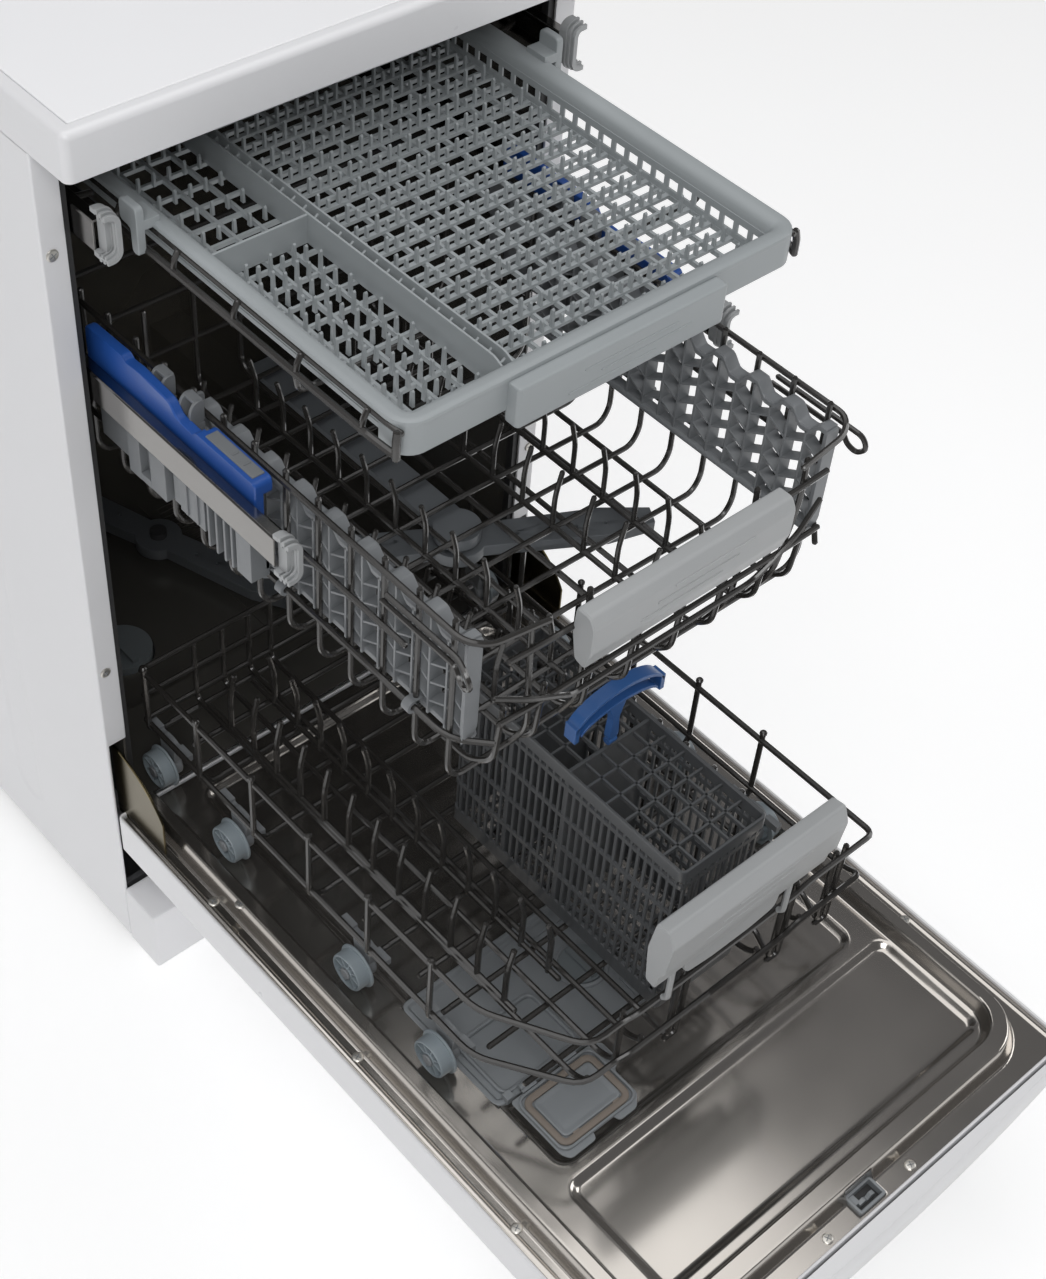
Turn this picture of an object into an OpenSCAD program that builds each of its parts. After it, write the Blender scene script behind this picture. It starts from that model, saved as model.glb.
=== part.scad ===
// Slim dishwasher with worktop: door open, cutlery tray and two baskets drawn out.
// The origin is at the bottom centre of the whole open machine; the front faces -Y, +Z is up.

/* [Cabinet] */
// Width over the side panels
cabinet_w = 448; // [440:1:450]
// Height from the floor to the top of the worktop
cabinet_h = 845; // [840:1:860]
// Depth of the side panels behind their front edge
cabinet_d = 555; // [540:1:570]
// Thickness of the worktop
worktop_t = 34; // [28:1:40]
// Overhang of the worktop and the plinth in front of the side panels
front_overhang = 43; // [40:1:46]
// Thickness of the sheet steel as modelled
sheet_t = 2; // [1.5:0.5:2]
// Height of the top of the plinth and base
base_top = 83; // [70:1:84]

/* [Door] */
// Height of the inner face of the open door
door_inner_z = 183.5; // [180:0.5:184]
// Thickness of the door
door_t = 43; // [40:1:44]
// Reach of the open door's inner sheet in front of the side panels
door_reach = 645; // [630:1:655]
// How far the bowed control fascia stands beyond the inner sheet at its middle
fascia_bow = 12; // [10:1:14]
// Height of the raised roll round the door's inner sheet
roll_h = 12.5; // [8:0.5:14]
// Radius of the door's hinge pins
hinge_pin_r = 5; // [4:0.5:6]

/* [Tray and baskets] */
// Half width of the cutlery tray
tray_hw = 165; // [155:1:168]
// Height of the top of the tray's rim
tray_top = 760; // [755:1:762]
// Height of the upper basket's floor
upper_floor_z = 494; // [494:1:500]
// Height of the lower basket's floor
lower_floor_z = 226; // [224:1:230]
// Radius of the lower basket's wheels
wheel_r = 19; // [17:0.5:19]
// Radius of the axles and spindles' running clearance
running_gap = 0.05; // [0.03:0.01:0.1]

/* [Hidden] */
$fn = 48;
hw = cabinet_w / 2;
front_y = (door_reach + fascia_bow - cabinet_d - sheet_t) / 2;
bow_rise = 9;
bow_r = (hw * hw + bow_rise * bow_rise) / (2 * bow_rise);
top_under = cabinet_h - worktop_t;
hinge_y = -10;
hinge_z = 173;
mouth_hw = 205;
tub_top = 790;
tub_rear = 520;
tub_floor = 144;
ledge_z = 182.5;
sill_y = 85;
door_hw = hw - 1;
door_outer_z = door_inner_z - door_t;
fascia_y = -545;
tray_front = -282;
tray_rear = 168;
upper_hw = 166;
upper_front = -354;
upper_rear = 84;
lower_hw = 169;
lower_front = -457;
lower_rear = 29;
wheel_y = [3, -95, -252, -350];
wheel_x = 176;
wheel_z = 205;
axle_r = 4;
arm_y = 265;
upper_arm_y = -150;
filter_x = 95;
filter_y = 205;
lattice_bottom = 545;
lattice_top = 638;
screw_r = 3.6;

// Moves a piece from the cabinet's front edge to the machine's origin.
module cab() translate([0, front_y, 0]) children();

// A box between two corners.
module slab(x, y, z) translate([x[0], y[0], z[0]]) cube([x[1] - x[0], y[1] - y[0], z[1] - z[0]]);

// The same piece on both sides of the machine.
module both() {
    children();
    mirror([1, 0, 0]) children();
}

// A rectangle with round corners.
module round_rect(x, y, r) {
    translate([x[0] + r, y[0]]) square([x[1] - x[0] - 2 * r, y[1] - y[0]]);
    translate([x[0], y[0] + r]) square([x[1] - x[0], y[1] - y[0] - 2 * r]);
    for (cx = [x[0] + r, x[1] - r], cy = [y[0] + r, y[1] - r]) translate([cx, cy]) circle(r);
}

// A plate of crossing bars, w by h, with nx by ny gaps.
module bars(w, h, nx, ny, bar) difference() {
    square([w, h]);
    gap_w = (w - bar) / nx - bar;
    gap_h = (h - bar) / ny - bar;
    for (i = [0 : nx - 1], j = [0 : ny - 1])
        translate([bar + i * (gap_w + bar), bar + j * (gap_h + bar)]) square([gap_w, gap_h]);
}

// A grid lying flat, standing along Y, or standing along X.
module floor_grid(x, y, z, t, nx, ny, bar) translate([x[0], y[0], z]) linear_extrude(t)
    bars(x[1] - x[0], y[1] - y[0], nx, ny, bar);
module side_grid(x, y, z, t, ny, nz, bar) translate([x, y[0], z[0]])
    rotate([90, 0, 90]) linear_extrude(t) bars(y[1] - y[0], z[1] - z[0], ny, nz, bar);
module cross_grid(x, y, z, t, nx, nz, bar) translate([x[0], y, z[0]])
    rotate([90, 0, 0]) linear_extrude(t) bars(x[1] - x[0], z[1] - z[0], nx, nz, bar);

// A rod along X, Y or Z, starting at a point.
module rod_x(p, r, l) translate(p) rotate([0, 90, 0]) cylinder(r = r, h = l);
module rod_y(p, r, l) translate(p) rotate([-90, 0, 0]) cylinder(r = r, h = l);
module rod_z(p, r, l) translate(p) cylinder(r = r, h = l);

// The moving rail of a telescopic slide on the left, and the ribbed cap on its front end.
module slide_rail(y, z) difference() {
    slab([-198.8, -189.5], y, z);
    slab([-196.5, -189], [y[0] - 1, y[1] + 1], [z[0] + 3, z[1] - 3]);
}
module rail_cap(y, z) difference() {
    slab([-199, -187], y, z);
    for (i = [8, 18, 28]) slab([-201, -197.5], [y[0] - 1, y[0] + 12], [z[0] + i, z[0] + i + 3]);
}

// ---------------------------------------------------------------- cabinet

module worktop() color("whitesmoke") cab() difference() {
    translate([0, 0, top_under]) linear_extrude(worktop_t)
        round_rect([-hw, hw], [-front_overhang, cabinet_d + sheet_t], 8);
    slab([-hw + 10, hw - 10], [-front_overhang + 14, cabinet_d - 12], [cabinet_h - 4, cabinet_h + 1]);
    slab([-hw + 16, hw - 16], [16, cabinet_d - 16], [top_under - 1, top_under + 14]);
}

module worktop_panel() color("white") cab() translate([0, 0, cabinet_h - 4]) linear_extrude(4)
    round_rect([-hw + 10.5, hw - 10.5], [-front_overhang + 14.5, cabinet_d - 12.5], 4);

module side_panel() {
    difference() {
        slab([-hw, -hw + sheet_t], [0, cabinet_d], [15, top_under]);
        slab([-hw - 1, -hw + sheet_t + 1], [cabinet_d - 27, cabinet_d + 1], [0, 120]);
    }
    slab([-hw + sheet_t, -mouth_hw], [0, sheet_t], [268, top_under]);
    slab([-hw + sheet_t, -hw + 3], [0, sheet_t], [base_top, 268]);
    slab([-hw + sheet_t, -hw + 14], [cabinet_d - sheet_t, cabinet_d], [121, top_under]);
}
module side_panel_left() color("gainsboro") cab() side_panel();
module side_panel_right() color("gainsboro") cab() mirror([1, 0, 0]) side_panel();

module rear_panel() color("silver") cab() difference() {
    slab([-hw, hw], [cabinet_d, cabinet_d + sheet_t], [120, top_under]);
    for (i = [-3 : 3]) slab([-60, 60], [cabinet_d - 1, cabinet_d + 4], [640 + 12 * i, 645 + 12 * i]);
}

module base_tray() color("dimgray") cab() difference() {
    slab([-hw + 2.5, hw - 2.5], [3, cabinet_d - 27], [15, base_top]);
    slab([-hw + 6, hw - 6], [8, cabinet_d - 32], [19, base_top + 1]);
    for (x = [-150, 150]) rod_y([x, cabinet_d - 40, 52], 18, 20);
}

module plinth() color("whitesmoke") cab() difference() {
    slab([-hw, hw], [-front_overhang, 0], [12, base_top]);
    slab([-hw + 4, hw - 4], [-front_overhang + 4, 1], [8, base_top - 4]);
}

module tub() color("silver") cab() {
    tub_shell();
    rod_z([0, arm_y, 774], 6, tub_top - 774 + 1);
    rod_z([0, arm_y, 771], 9, 3.1);
}
module tub_shell() difference() {
    union() {
        slab([-mouth_hw - sheet_t, mouth_hw + sheet_t], [sheet_t + 0.05, tub_rear + sheet_t],
            [ledge_z - sheet_t, tub_top + sheet_t]);
        slab([-mouth_hw - sheet_t, mouth_hw + sheet_t], [sill_y, tub_rear + sheet_t],
            [tub_floor, ledge_z]);
    }
    slab([-mouth_hw, mouth_hw], [0, tub_rear], [ledge_z, tub_top]);
    slab([-165, 165], [sill_y + 4, tub_rear], [tub_floor + sheet_t, ledge_z + 1]);
    both() slab([-mouth_hw - sheet_t - 1, -165 - sheet_t], [sill_y - 1, tub_rear + 9],
        [tub_floor - 1, ledge_z - sheet_t]);
    rod_z([filter_x, filter_y, tub_floor - 1], 33, 5);
    rod_z([0, arm_y, tub_floor - 1], 11, 5);
    rod_z([-100, 180, tub_floor - 1], 30, 5);
}

module tub_seal() color("dimgray") cab() difference() {
    slab([-mouth_hw, mouth_hw], [3, 10], [190, tub_top]);
    slab([-mouth_hw + 5.5, mouth_hw - 5.5], [2, 11], [189, tub_top - 6]);
}

module counterweight() color("slategray") cab() slab([-118, 118], [400, 505], [19, 79]);

module foot(x, y) {
    rod_z([x, y, 0], 16, 8);
    rod_z([x, y, 8], 5, 7);
}
module levelling_feet() color("black") cab()
    for (x = [-195, 195], y = [24, 500]) foot(x, y);

module sump() color("dimgray") cab() difference() {
    union() {
        rod_z([filter_x, filter_y, 84], 44, tub_floor - 84);
        rod_z([-100, 180, 84], 40, tub_floor - 84);
        slab([-100, filter_x], [180, 290], [110, tub_floor]);
        rod_z([0, arm_y, tub_floor], 10.5, 12);
        rod_z([0, arm_y, tub_floor + 12], 8, 20);
    }
    rod_z([filter_x, filter_y, 90], 32.5, 60);
    rod_z([-100, 180, 90], 29, 60);
}

module filter_plate() color("lightgray") cab() difference() {
    slab([20, 160], [110, 330], [tub_floor + sheet_t, tub_floor + sheet_t + 1.5]);
    rod_z([filter_x, filter_y, tub_floor], 33, 6);
    for (i = [0 : 5]) slab([30, 150], [116 + 7 * i, 119 + 7 * i], [tub_floor, tub_floor + 6]);
    for (i = [0 : 8]) slab([30, 150], [256 + 7 * i, 259 + 7 * i], [tub_floor, tub_floor + 6]);
}

module filter_cylinder() color("gray") cab() difference() {
    union() {
        rod_z([filter_x, filter_y, 91], 30, 60);
        rod_z([filter_x, filter_y, tub_floor + 7], 16, 3);
        slab([filter_x - 4, filter_x + 4], [filter_y - 28, filter_y + 28], [150.9, 155]);
    }
    rod_z([filter_x, filter_y, 94], 27, 54);
}

module salt_cap() color("dimgray") cab() {
    rod_z([-100, 180, 130], 28, 22);
    slab([-103, -97], [156, 204], [151.9, 156]);
}

// The circulation pump with its heater, and the drain pump with the hose spigot.
module pumps() color("darkslategray") cab() {
    rod_x([-110, 345, 62], 34, 150);
    rod_x([40, 345, 62], 24, 36);
    rod_x([-130, 345, 62], 12, 20.1);
    rod_x([120, 345, 50], 24, 60);
    rod_y([150, 360, 52], 8, cabinet_d - 375);
    rod_y([150, cabinet_d - 26, 52], 9.5, 19);
    rod_y([150, cabinet_d - 28, 52], 12, 3);
}

module inlet_valve() color("white") cab() {
    slab([-172, -128], [cabinet_d - 48.1, cabinet_d - 33], [33, 71]);
    rod_y([-150, cabinet_d - 33.1, 52], 16, 8.1);
    rod_y([-150, cabinet_d - 25.1, 52], 13.2, 20.1);
}

module rail_guides() color("silver") cab() both() {
    slab([-mouth_hw, -199.5], [24, 455], [740, 770]);
    slab([-mouth_hw, -199.5], [24, 455], [606, 638]);
    slab([-199.6, -196.5], [24, 455], [636, 638]);
}

module hinge_brackets() color("silver") cab() both() {
    slab([-218.5, -216.5], [-18, 60], [150, 180.9]);
    slab([-hw + sheet_t, -216.5], [30, 60], [150, 180.9]);
    rod_x([-216.6, hinge_y, hinge_z], hinge_pin_r, 6.1);
}

module door_springs() color("gray") cab() both() {
    rod_y([-196, 90, 110], 7, 180);
    slab([-198, -194], [269.9, 276], [84, 112]);
    rod_y([-196, 60, 110], 1.5, 30.1);
}

module spray_arm(r, z, t, hub_r) difference() {
    union() {
        translate([0, 0, z]) cylinder(r = 22, h = t);
        for (a = [0, 180]) rotate(a) translate([0, 0, z]) linear_extrude(t)
            polygon([[-12, 0], [-14, r * 0.75], [-8, r], [8, r], [16, r * 0.75], [12, 0]]);
    }
    translate([0, 0, z - 1]) cylinder(r = hub_r + running_gap, h = t + 2);
    for (a = [0, 180], k = [0.3 : 0.15 : 0.9])
        rotate(a) translate([3, r * k, z - 1]) cylinder(r = 1.5, h = t + 2);
}

module ceiling_spray_arm() color("gray") cab() {
    translate([0, arm_y, 0]) rotate(35) spray_arm(120, 776, 8, 6);
}

module panel_screws() color("silver") cab() both() for (z = [351, 735])
    rod_y([-216, -1.8, z], screw_r, 1.8);

// ---------------------------------------------------------------- door

module door_outer_panel() color("whitesmoke") cab() {
    slab([-door_hw, door_hw], [fascia_y + 1, -2], [door_outer_z, door_outer_z + 1.5]);
    both() slab([-door_hw, -door_hw + 2.5], [-door_reach + 2, -2], [door_outer_z + 4, door_inner_z]);
    both() slab([-door_hw, -door_hw + 2.5], [fascia_y + 1, -2], [door_outer_z, door_inner_z]);
    slab([-208, 208], [-2.1, 70], [door_outer_z, door_outer_z + 1.5]);
    slab([-208, 208], [68, 70], [door_outer_z, door_outer_z + 12]);
}

// The fascia's outline from above, with its long front edge bowed.
module bowed_front(back) intersection() {
    translate([0, bow_r - door_reach - fascia_bow]) circle(bow_r, $fn = 720);
    translate([-door_hw, -door_reach - fascia_bow - 1]) square([2 * door_hw, back]);
}
module control_fascia() color("white") cab() difference() {
    union() {
        translate([0, 0, door_outer_z]) linear_extrude(3)
            bowed_front(door_reach + fascia_bow + 1 + fascia_y);
        translate([0, 0, door_outer_z]) linear_extrude(door_t - 2) bowed_front(fascia_bow + 1);
        slab([-60, 60], [-632, -598], [door_outer_z + 2.9, door_outer_z + 22]);
    }
    slab([-58, 58], [-630, -600], [door_outer_z - 1, door_outer_z + 20]);
    for (x = [-170, 170]) rod_z([x, -590, door_outer_z - 1], 9.5, 6);
}

// A shallow pressed pan in the door's inner sheet.
module pan_cut(x, y) slab(x, y, [door_inner_z - 6, door_inner_z + 1]);
module pan_wall(x, y) difference() {
    slab([x[0] - 2, x[1] + 2], [y[0] - 2, y[1] + 2], [door_inner_z - 8, door_inner_z - 0.5]);
    pan_cut(x, y);
}
module door_sheet() difference() {
    union() {
        difference() {
            slab([-door_hw + 3, door_hw - 3], [-door_reach + 2.5, -6], [door_inner_z - 2, door_inner_z]);
            pan_cut([-160, 178], [-586, -486]);
        }
        pan_wall([-160, 178], [-586, -486]);
    }
    slab([-161, 11], [-406, -289], [door_inner_z - 9, door_inner_z + 1]);
    slab([-16, 16], [-640, -618], [door_inner_z - 9, door_inner_z + 1]);
}
module door_roll() {
    both() slab([-207, -187.5], [-596.9, -24], [door_inner_z + 0.05, door_inner_z + roll_h]);
    translate([0, 0, door_inner_z + 0.05]) linear_extrude(roll_h - 0.05)
        polygon([[-206.5, -597], [-203, -605], [-192, -615], [-178, -618],
            [178, -618], [192, -615], [203, -605], [206.5, -597]]);
}
module door_inner_panel() color("rosybrown") cab() {
    door_sheet();
    door_roll();
}

module hinge_plate() difference() {
    union() {
        intersection() {
            rod_x([-215.5, 6, door_inner_z + 0.5], 76, 2);
            slab([-216, -213], [-60, 6], [door_inner_z + 0.5, door_inner_z + 80]);
        }
        slab([-215.5, -213.5], [-90, 6], [door_inner_z - 22, door_inner_z - 2.2]);
        slab([-215.5, -213.5], [-5.8, 6], [door_inner_z - 2.3, door_inner_z + 0.6]);
    }
    rod_x([-217, hinge_y, hinge_z], hinge_pin_r + running_gap, 6);
}
module hinge_plates() color("khaki") cab() both() hinge_plate();

module dispenser_housing() color("gray") cab() difference() {
    slab([-160.5, 10.5], [-405.5, -289.5], [door_inner_z - 26, door_inner_z + 0.5]);
    slab([-148, -74], [-399, -344], [door_inner_z - 20, door_inner_z + 1]);
    rod_z([-25, -350, door_inner_z - 8], 18.5, 12);
    slab([-148, -74], [-330, -300], [door_inner_z - 6, door_inner_z + 1]);
}

module door_latch() color("dimgray") cab() difference() {
    slab([-15.5, 15.5], [-639.5, -618.5], [door_inner_z - 16, door_inner_z + 1]);
    slab([-9, 9], [-634, -624], [door_inner_z - 10, door_inner_z + 2]);
}

module door_screws() color("silver") cab() {
    both() for (y = [-119, -303, -485]) rod_z([-211, y, door_inner_z], screw_r, 1.6);
    both() rod_z([-197, -140, door_inner_z + roll_h + 0.05], screw_r, 1.6);
    both() rod_z([-46, -634, door_inner_z], screw_r, 1.6);
}

module dispenser_lid() color("gray") cab() difference() {
    union() {
        slab([-150, -70], [-471, -408], [door_inner_z + 1, door_inner_z + 4.5]);
        slab([-138, -82], [-408.1, -404], [door_inner_z + 2.5, door_inner_z + 4.5]);
        rod_x([-138, -404, door_inner_z + 4], 2.8, 56);
    }
    slab([-142, -78], [-463, -414], [door_inner_z + 3, door_inner_z + 6]);
}

module rinse_aid_cap() color("slategray") cab() {
    rod_z([-25, -350, door_inner_z - 6], 18, 8);
    slab([-28, -22], [-366, -334], [door_inner_z + 1.9, door_inner_z + 5]);
}

module push_button(x) {
    rod_z([x, -590, door_outer_z - 2], 9, 7);
}
module power_button() color("silver") cab() push_button(-170);
module program_button() color("silver") cab() push_button(170);

// ---------------------------------------------------------------- cutlery tray

module tray_frame() color("slategray") cab() {
    difference() {
        translate([0, 0, tray_top - 25]) linear_extrude(25) difference() {
            round_rect([-tray_hw, tray_hw], [tray_front, tray_rear], 14);
            round_rect([-tray_hw + 7, tray_hw - 7], [tray_front + 9, tray_rear - 7], 8);
        }
        slab([-88, 88], [tray_front - 1, tray_front + 4], [tray_top - 26, tray_top - 4]);
    }
    slab([-87, 87], [tray_front - 10, tray_front + 3.9], [tray_top - 34, tray_top - 4.1]);
    both() {
        slab([-177, -tray_hw + 0.1], [-38, -18], [753.1, 775]);
        slab([-177, -172], [-38, -18], [738, 753.2]);
    }
}

module tray_grid() color("slategray") cab()
    floor_grid([-tray_hw + 7, tray_hw - 7], [tray_front + 9, tray_rear - 7], tray_top - 30, 4, 6, 8, 4);

module tray_dividers() color("slategray") cab() {
    slab([-75, -72], [tray_front + 9.5, tray_rear - 7.5], [tray_top - 25.9, tray_top - 2]);
    slab([-157.5, -75.1], [-80, -77], [tray_top - 25.9, tray_top - 5]);
}

module tray_rails() color("silver") cab() both() slide_rail([-22, 165], [742, 766]);
module tray_rail_caps() color("darkgray") cab() both() rail_cap([-38, -22], [739, 779]);

module tray_wires() color("dimgray") cab() {
    both() slab([-194, -171.8], [22, tray_rear], [747, 753]);
    both() slab([-171.9, -tray_hw], [tray_front + 14, tray_rear - 14], [733, 753]);
}

// ---------------------------------------------------------------- upper basket

module upper_basket_wires() color("dimgray") cab() {
    floor_grid([-144, 144], [upper_front + 4, upper_rear - 4], upper_floor_z, 3.5, 5, 7, 3.5);
    for (x = [-upper_hw - 3, upper_hw])
        side_grid(x, [upper_front + 4, upper_rear - 4], [upper_floor_z + 4, 645], 3, 8, 3, 3.5);
    cross_grid([-140, 140], upper_front, [upper_floor_z + 4, 600], 3, 6, 2, 3.5);
    cross_grid([-164, 164], upper_rear, [upper_floor_z + 4, 645], 3, 6, 3, 3.5);
}

module upper_basket_handle() color("darkgray") cab() {
    translate([-90, 0, 0]) rotate([90, 0, 90]) linear_extrude(180)
        polygon([[-364, 590], [-372, 588], [-376, 622], [-370, 634], [-360, 634], [-358, 612]]);
    for (x = [-70, 70]) rod_y([x, -364.1, 604], 2.5, 6.6);
}

module height_adjusters() color("darkgray") cab() both() difference() {
    union() {
        slab([-188.5, -171], [-150, 20], [548, 600]);
        slab([-180, -169], [-150, 20], [599.9, 634]);
        rod_x([-188.4, -75, 622], 3, 9);
    }
    for (y = [-138 : 22 : 10]) slab([-190, -182], [y, y + 10], [547, 590]);
}

module height_lever() difference() {
    union() {
        slab([-188.5, -181], [-168, -90], [606, 648.5]);
        slab([-188.5, -174], [-168, -104], [635, 648.5]);
        slab([-188.5, -181], [-90.1, 20], [616, 658]);
    }
    rod_x([-189, -75, 622], 3 + running_gap, 9);
}
module height_lever_left() color("royalblue") cab() height_lever();
module height_lever_right() color("royalblue") cab() mirror([1, 0, 0]) height_lever();

module upper_spray_feed() color("gray") cab() {
    slab([-13, 13], [upper_arm_y, upper_rear + 3], [486, upper_floor_z - 0.2]);
    rod_z([0, upper_arm_y, 484], 18, upper_floor_z - 484.2);
    rod_z([0, upper_arm_y, 470], 8, 14.1);
    rod_z([0, upper_arm_y, 467], 12, 3.1);
}

module upper_spray_arm() color("gray") cab()
    translate([0, upper_arm_y, 0]) rotate(62) spray_arm(150, 471.5, 10, 8);

module cup_rack() {
    side_grid(-163, [-344, -60], [lattice_bottom, lattice_top], 11, 10, 4, 5);
    rod_y([-153.5, -344, lattice_bottom + 2.5], 3, 284);
}
module cup_rack_left() color("darkgray") cab() cup_rack();
module cup_rack_right() color("darkgray") cab() mirror([1, 0, 0]) cup_rack();

module upper_slides() color("silver") cab() both() slide_rail([-200, 225], [608, 634]);
module slide_end_caps() color("darkgray") cab() both() rail_cap([-216, -200], [602, 640]);

// ---------------------------------------------------------------- lower basket

module lower_basket_wires() color("dimgray") cab() {
    floor_grid([-158, 158], [lower_front + 4, lower_rear - 4], lower_floor_z, 4, 6, 8, 4);
    for (x = [-lower_hw - 3, lower_hw])
        side_grid(x, [-392, lower_rear - 4], [lower_floor_z + 5, 303], 3, 8, 2, 4);
    cross_grid([-136, 136], lower_front, [lower_floor_z + 5, 305], 3, 6, 2, 4);
    cross_grid([-164, 164], lower_rear, [lower_floor_z + 5, 303], 3, 6, 2, 4);
}

module lower_basket_handle() color("darkgray") cab() {
    translate([-87, 0, 0]) rotate([90, 0, 90]) linear_extrude(174)
        polygon([[-462, 350], [-470, 348], [-480, 404], [-474, 418], [-462, 416], [-456, 384]]);
    for (x = [-60, 60]) {
        rod_z([x, -462, 300], 2.5, 52);
        rod_y([x, -462, 300], 2.5, 1.9);
    }
}

module wheel_axles() color("darkgray") cab() both() for (y = wheel_y) {
    rod_x([-183, y, wheel_z], axle_r, 20);
    rod_x([-184.6, y, wheel_z], 7, 1.7);
    slab([-168.9, -158], [y - 9, y + 9], [wheel_z - 9, lower_floor_z + 3]);
}

module wheel(y) difference() {
    union() {
        rod_x([-wheel_x - 6, y, wheel_z], wheel_r - 3, 12.5);
        rod_x([-wheel_x - 1, y, wheel_z], wheel_r, 7.5);
    }
    rod_x([-wheel_x - 8, y, wheel_z], axle_r + running_gap, 18);
    difference() {
        rod_x([-wheel_x - 8, y, wheel_z], wheel_r - 5, 6);
        rod_x([-wheel_x - 9, y, wheel_z], 8, 9);
    }
}
module wheels(i) color("slategray") cab() both() wheel(wheel_y[i]);
module lower_wheels_1() wheels(0);
module lower_wheels_2() wheels(1);
module lower_wheels_3() wheels(2);
module lower_wheels_4() wheels(3);

module lower_spray_arm() color("gray") cab()
    translate([0, arm_y, 0]) rotate(20) spray_arm(152, 158, 12, 8);

module cutlery_basket() color("darkslategray") cab() difference() {
    slab([-36, 50], [-438, -200], [lower_floor_z + 5, 400]);
    for (y = [-435, -317, -258]) slab([-33, 47], [y, y + (y < -400 ? 115 : 56)],
        [lower_floor_z + 8, 401]);
    for (y = [-426 : 26 : -220], z = [248 : 48 : 350]) slab([-37, 51], [y, y + 13], [z, z + 38]);
}

module cutlery_basket_handle() color("royalblue") cab() {
    rod_x([3, -318.5, 404.2], 3.5, 8);
    slab([3, 11], [-321.5, -315.5], [404.2, 452]);
    translate([0, -312.5, 0]) rotate([90, 0, 0]) linear_extrude(12)
        polygon([[-34, 440], [-22, 456], [7, 462], [36, 456], [48, 440], [40, 440], [30, 448],
            [7, 452], [-16, 448], [-26, 440]]);
}

worktop();
worktop_panel();
side_panel_left();
side_panel_right();
rear_panel();
base_tray();
plinth();
tub();
tub_seal();
counterweight();
levelling_feet();
sump();
filter_plate();
filter_cylinder();
pumps();
inlet_valve();
rail_guides();
hinge_brackets();
door_springs();
ceiling_spray_arm();
panel_screws();
salt_cap();
door_outer_panel();
door_inner_panel();
control_fascia();
hinge_plates();
dispenser_housing();
door_latch();
door_screws();
dispenser_lid();
rinse_aid_cap();
power_button();
program_button();
tray_frame();
tray_grid();
tray_dividers();
tray_wires();
tray_rails();
tray_rail_caps();
upper_basket_wires();
upper_basket_handle();
height_adjusters();
upper_spray_feed();
upper_spray_arm();
cup_rack_left();
cup_rack_right();
height_lever_left();
height_lever_right();
upper_slides();
slide_end_caps();
lower_basket_wires();
lower_basket_handle();
wheel_axles();
lower_wheels_1();
lower_wheels_2();
lower_wheels_3();
lower_wheels_4();
lower_spray_arm();
cutlery_basket();
cutlery_basket_handle();
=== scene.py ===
"""The looks of a slim dishwasher with its door lowered and its tray and baskets drawn out."""

import math

import bmesh
import bpy
import numpy as np
from mathutils import Matrix, Vector


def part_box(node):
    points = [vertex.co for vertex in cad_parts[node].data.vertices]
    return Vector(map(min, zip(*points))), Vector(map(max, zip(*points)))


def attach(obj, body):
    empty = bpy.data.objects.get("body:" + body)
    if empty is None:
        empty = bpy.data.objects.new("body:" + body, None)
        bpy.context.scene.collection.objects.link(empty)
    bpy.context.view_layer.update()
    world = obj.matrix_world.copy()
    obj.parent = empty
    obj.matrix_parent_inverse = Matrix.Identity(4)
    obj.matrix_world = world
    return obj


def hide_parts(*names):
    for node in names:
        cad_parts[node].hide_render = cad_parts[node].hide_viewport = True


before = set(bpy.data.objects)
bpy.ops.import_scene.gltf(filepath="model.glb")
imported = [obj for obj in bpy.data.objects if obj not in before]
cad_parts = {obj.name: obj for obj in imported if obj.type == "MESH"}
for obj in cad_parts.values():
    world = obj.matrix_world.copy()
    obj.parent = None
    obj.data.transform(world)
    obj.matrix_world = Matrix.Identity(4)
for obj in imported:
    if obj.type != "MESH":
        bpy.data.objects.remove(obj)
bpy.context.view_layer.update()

# The pieces are drawn in millimetres from the middle of the cabinet's front edge, at floor level,
# and placed() turns them into the frame's metres.
MM = 0.001
FRONT_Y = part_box("side_panel_left")[0][1]

# WELD_GAP is in metres. Edges past EDGE_ANGLE are rounded, and past SHARP_ANGLE they shade as sharp.
# TIP is the size of a wire's end against the wire, and NOISE_SPAN the part of a noise that is used.
WELD_GAP = 0.00001
EDGE_ANGLE = math.radians(40)
SHARP_ANGLE = math.radians(35)
TIP = 0.6
NOISE_SPAN = (0.15, 0.85)
CORNER_POINTS = 6
BLOCK_FACES = [(0, 2, 3, 1), (4, 5, 7, 6), (0, 1, 5, 4), (2, 6, 7, 3), (0, 4, 6, 2), (1, 3, 7, 5)]


def placed(points):
    """Drawing millimetres to frame metres."""
    return np.asarray(points, float) * MM + np.array([0.0, FRONT_Y, 0.0])


def drawn(node):
    """A CAD node's box in drawing millimetres: (low corner, high corner)."""
    low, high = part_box(node)
    shift = np.array([0.0, FRONT_Y, 0.0])
    return (np.array(low) - shift) / MM, (np.array(high) - shift) / MM


# ---- shape kit


def arc(centre, radius, start, end, count):
    """Points on an arc in a plane, angles in degrees."""
    angles = np.radians(np.linspace(start, end, count))
    return [(centre[0] + radius * math.cos(a), centre[1] + radius * math.sin(a)) for a in angles]


def rounded(points, radius, steps=5, closed=False):
    """A polyline with its corners turned into arcs."""
    pts = [np.array(p, float) for p in points]
    out = []
    last = len(pts) - 1
    for i, p in enumerate(pts):
        if not closed and i in (0, last):
            out.append(p)
            continue
        a, b = pts[i - 1] - p, pts[(i + 1) % len(pts)] - p
        la, lb = np.linalg.norm(a), np.linalg.norm(b)
        a, b = a / la, b / lb
        cut = min(radius, la * 0.48, lb * 0.48)
        s, e = p + a * cut, p + b * cut
        for t in np.linspace(0, 1, steps):
            out.append((1 - t) ** 2 * s + 2 * t * (1 - t) * p + t * t * e)
    return [tuple(p) for p in out]


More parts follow.
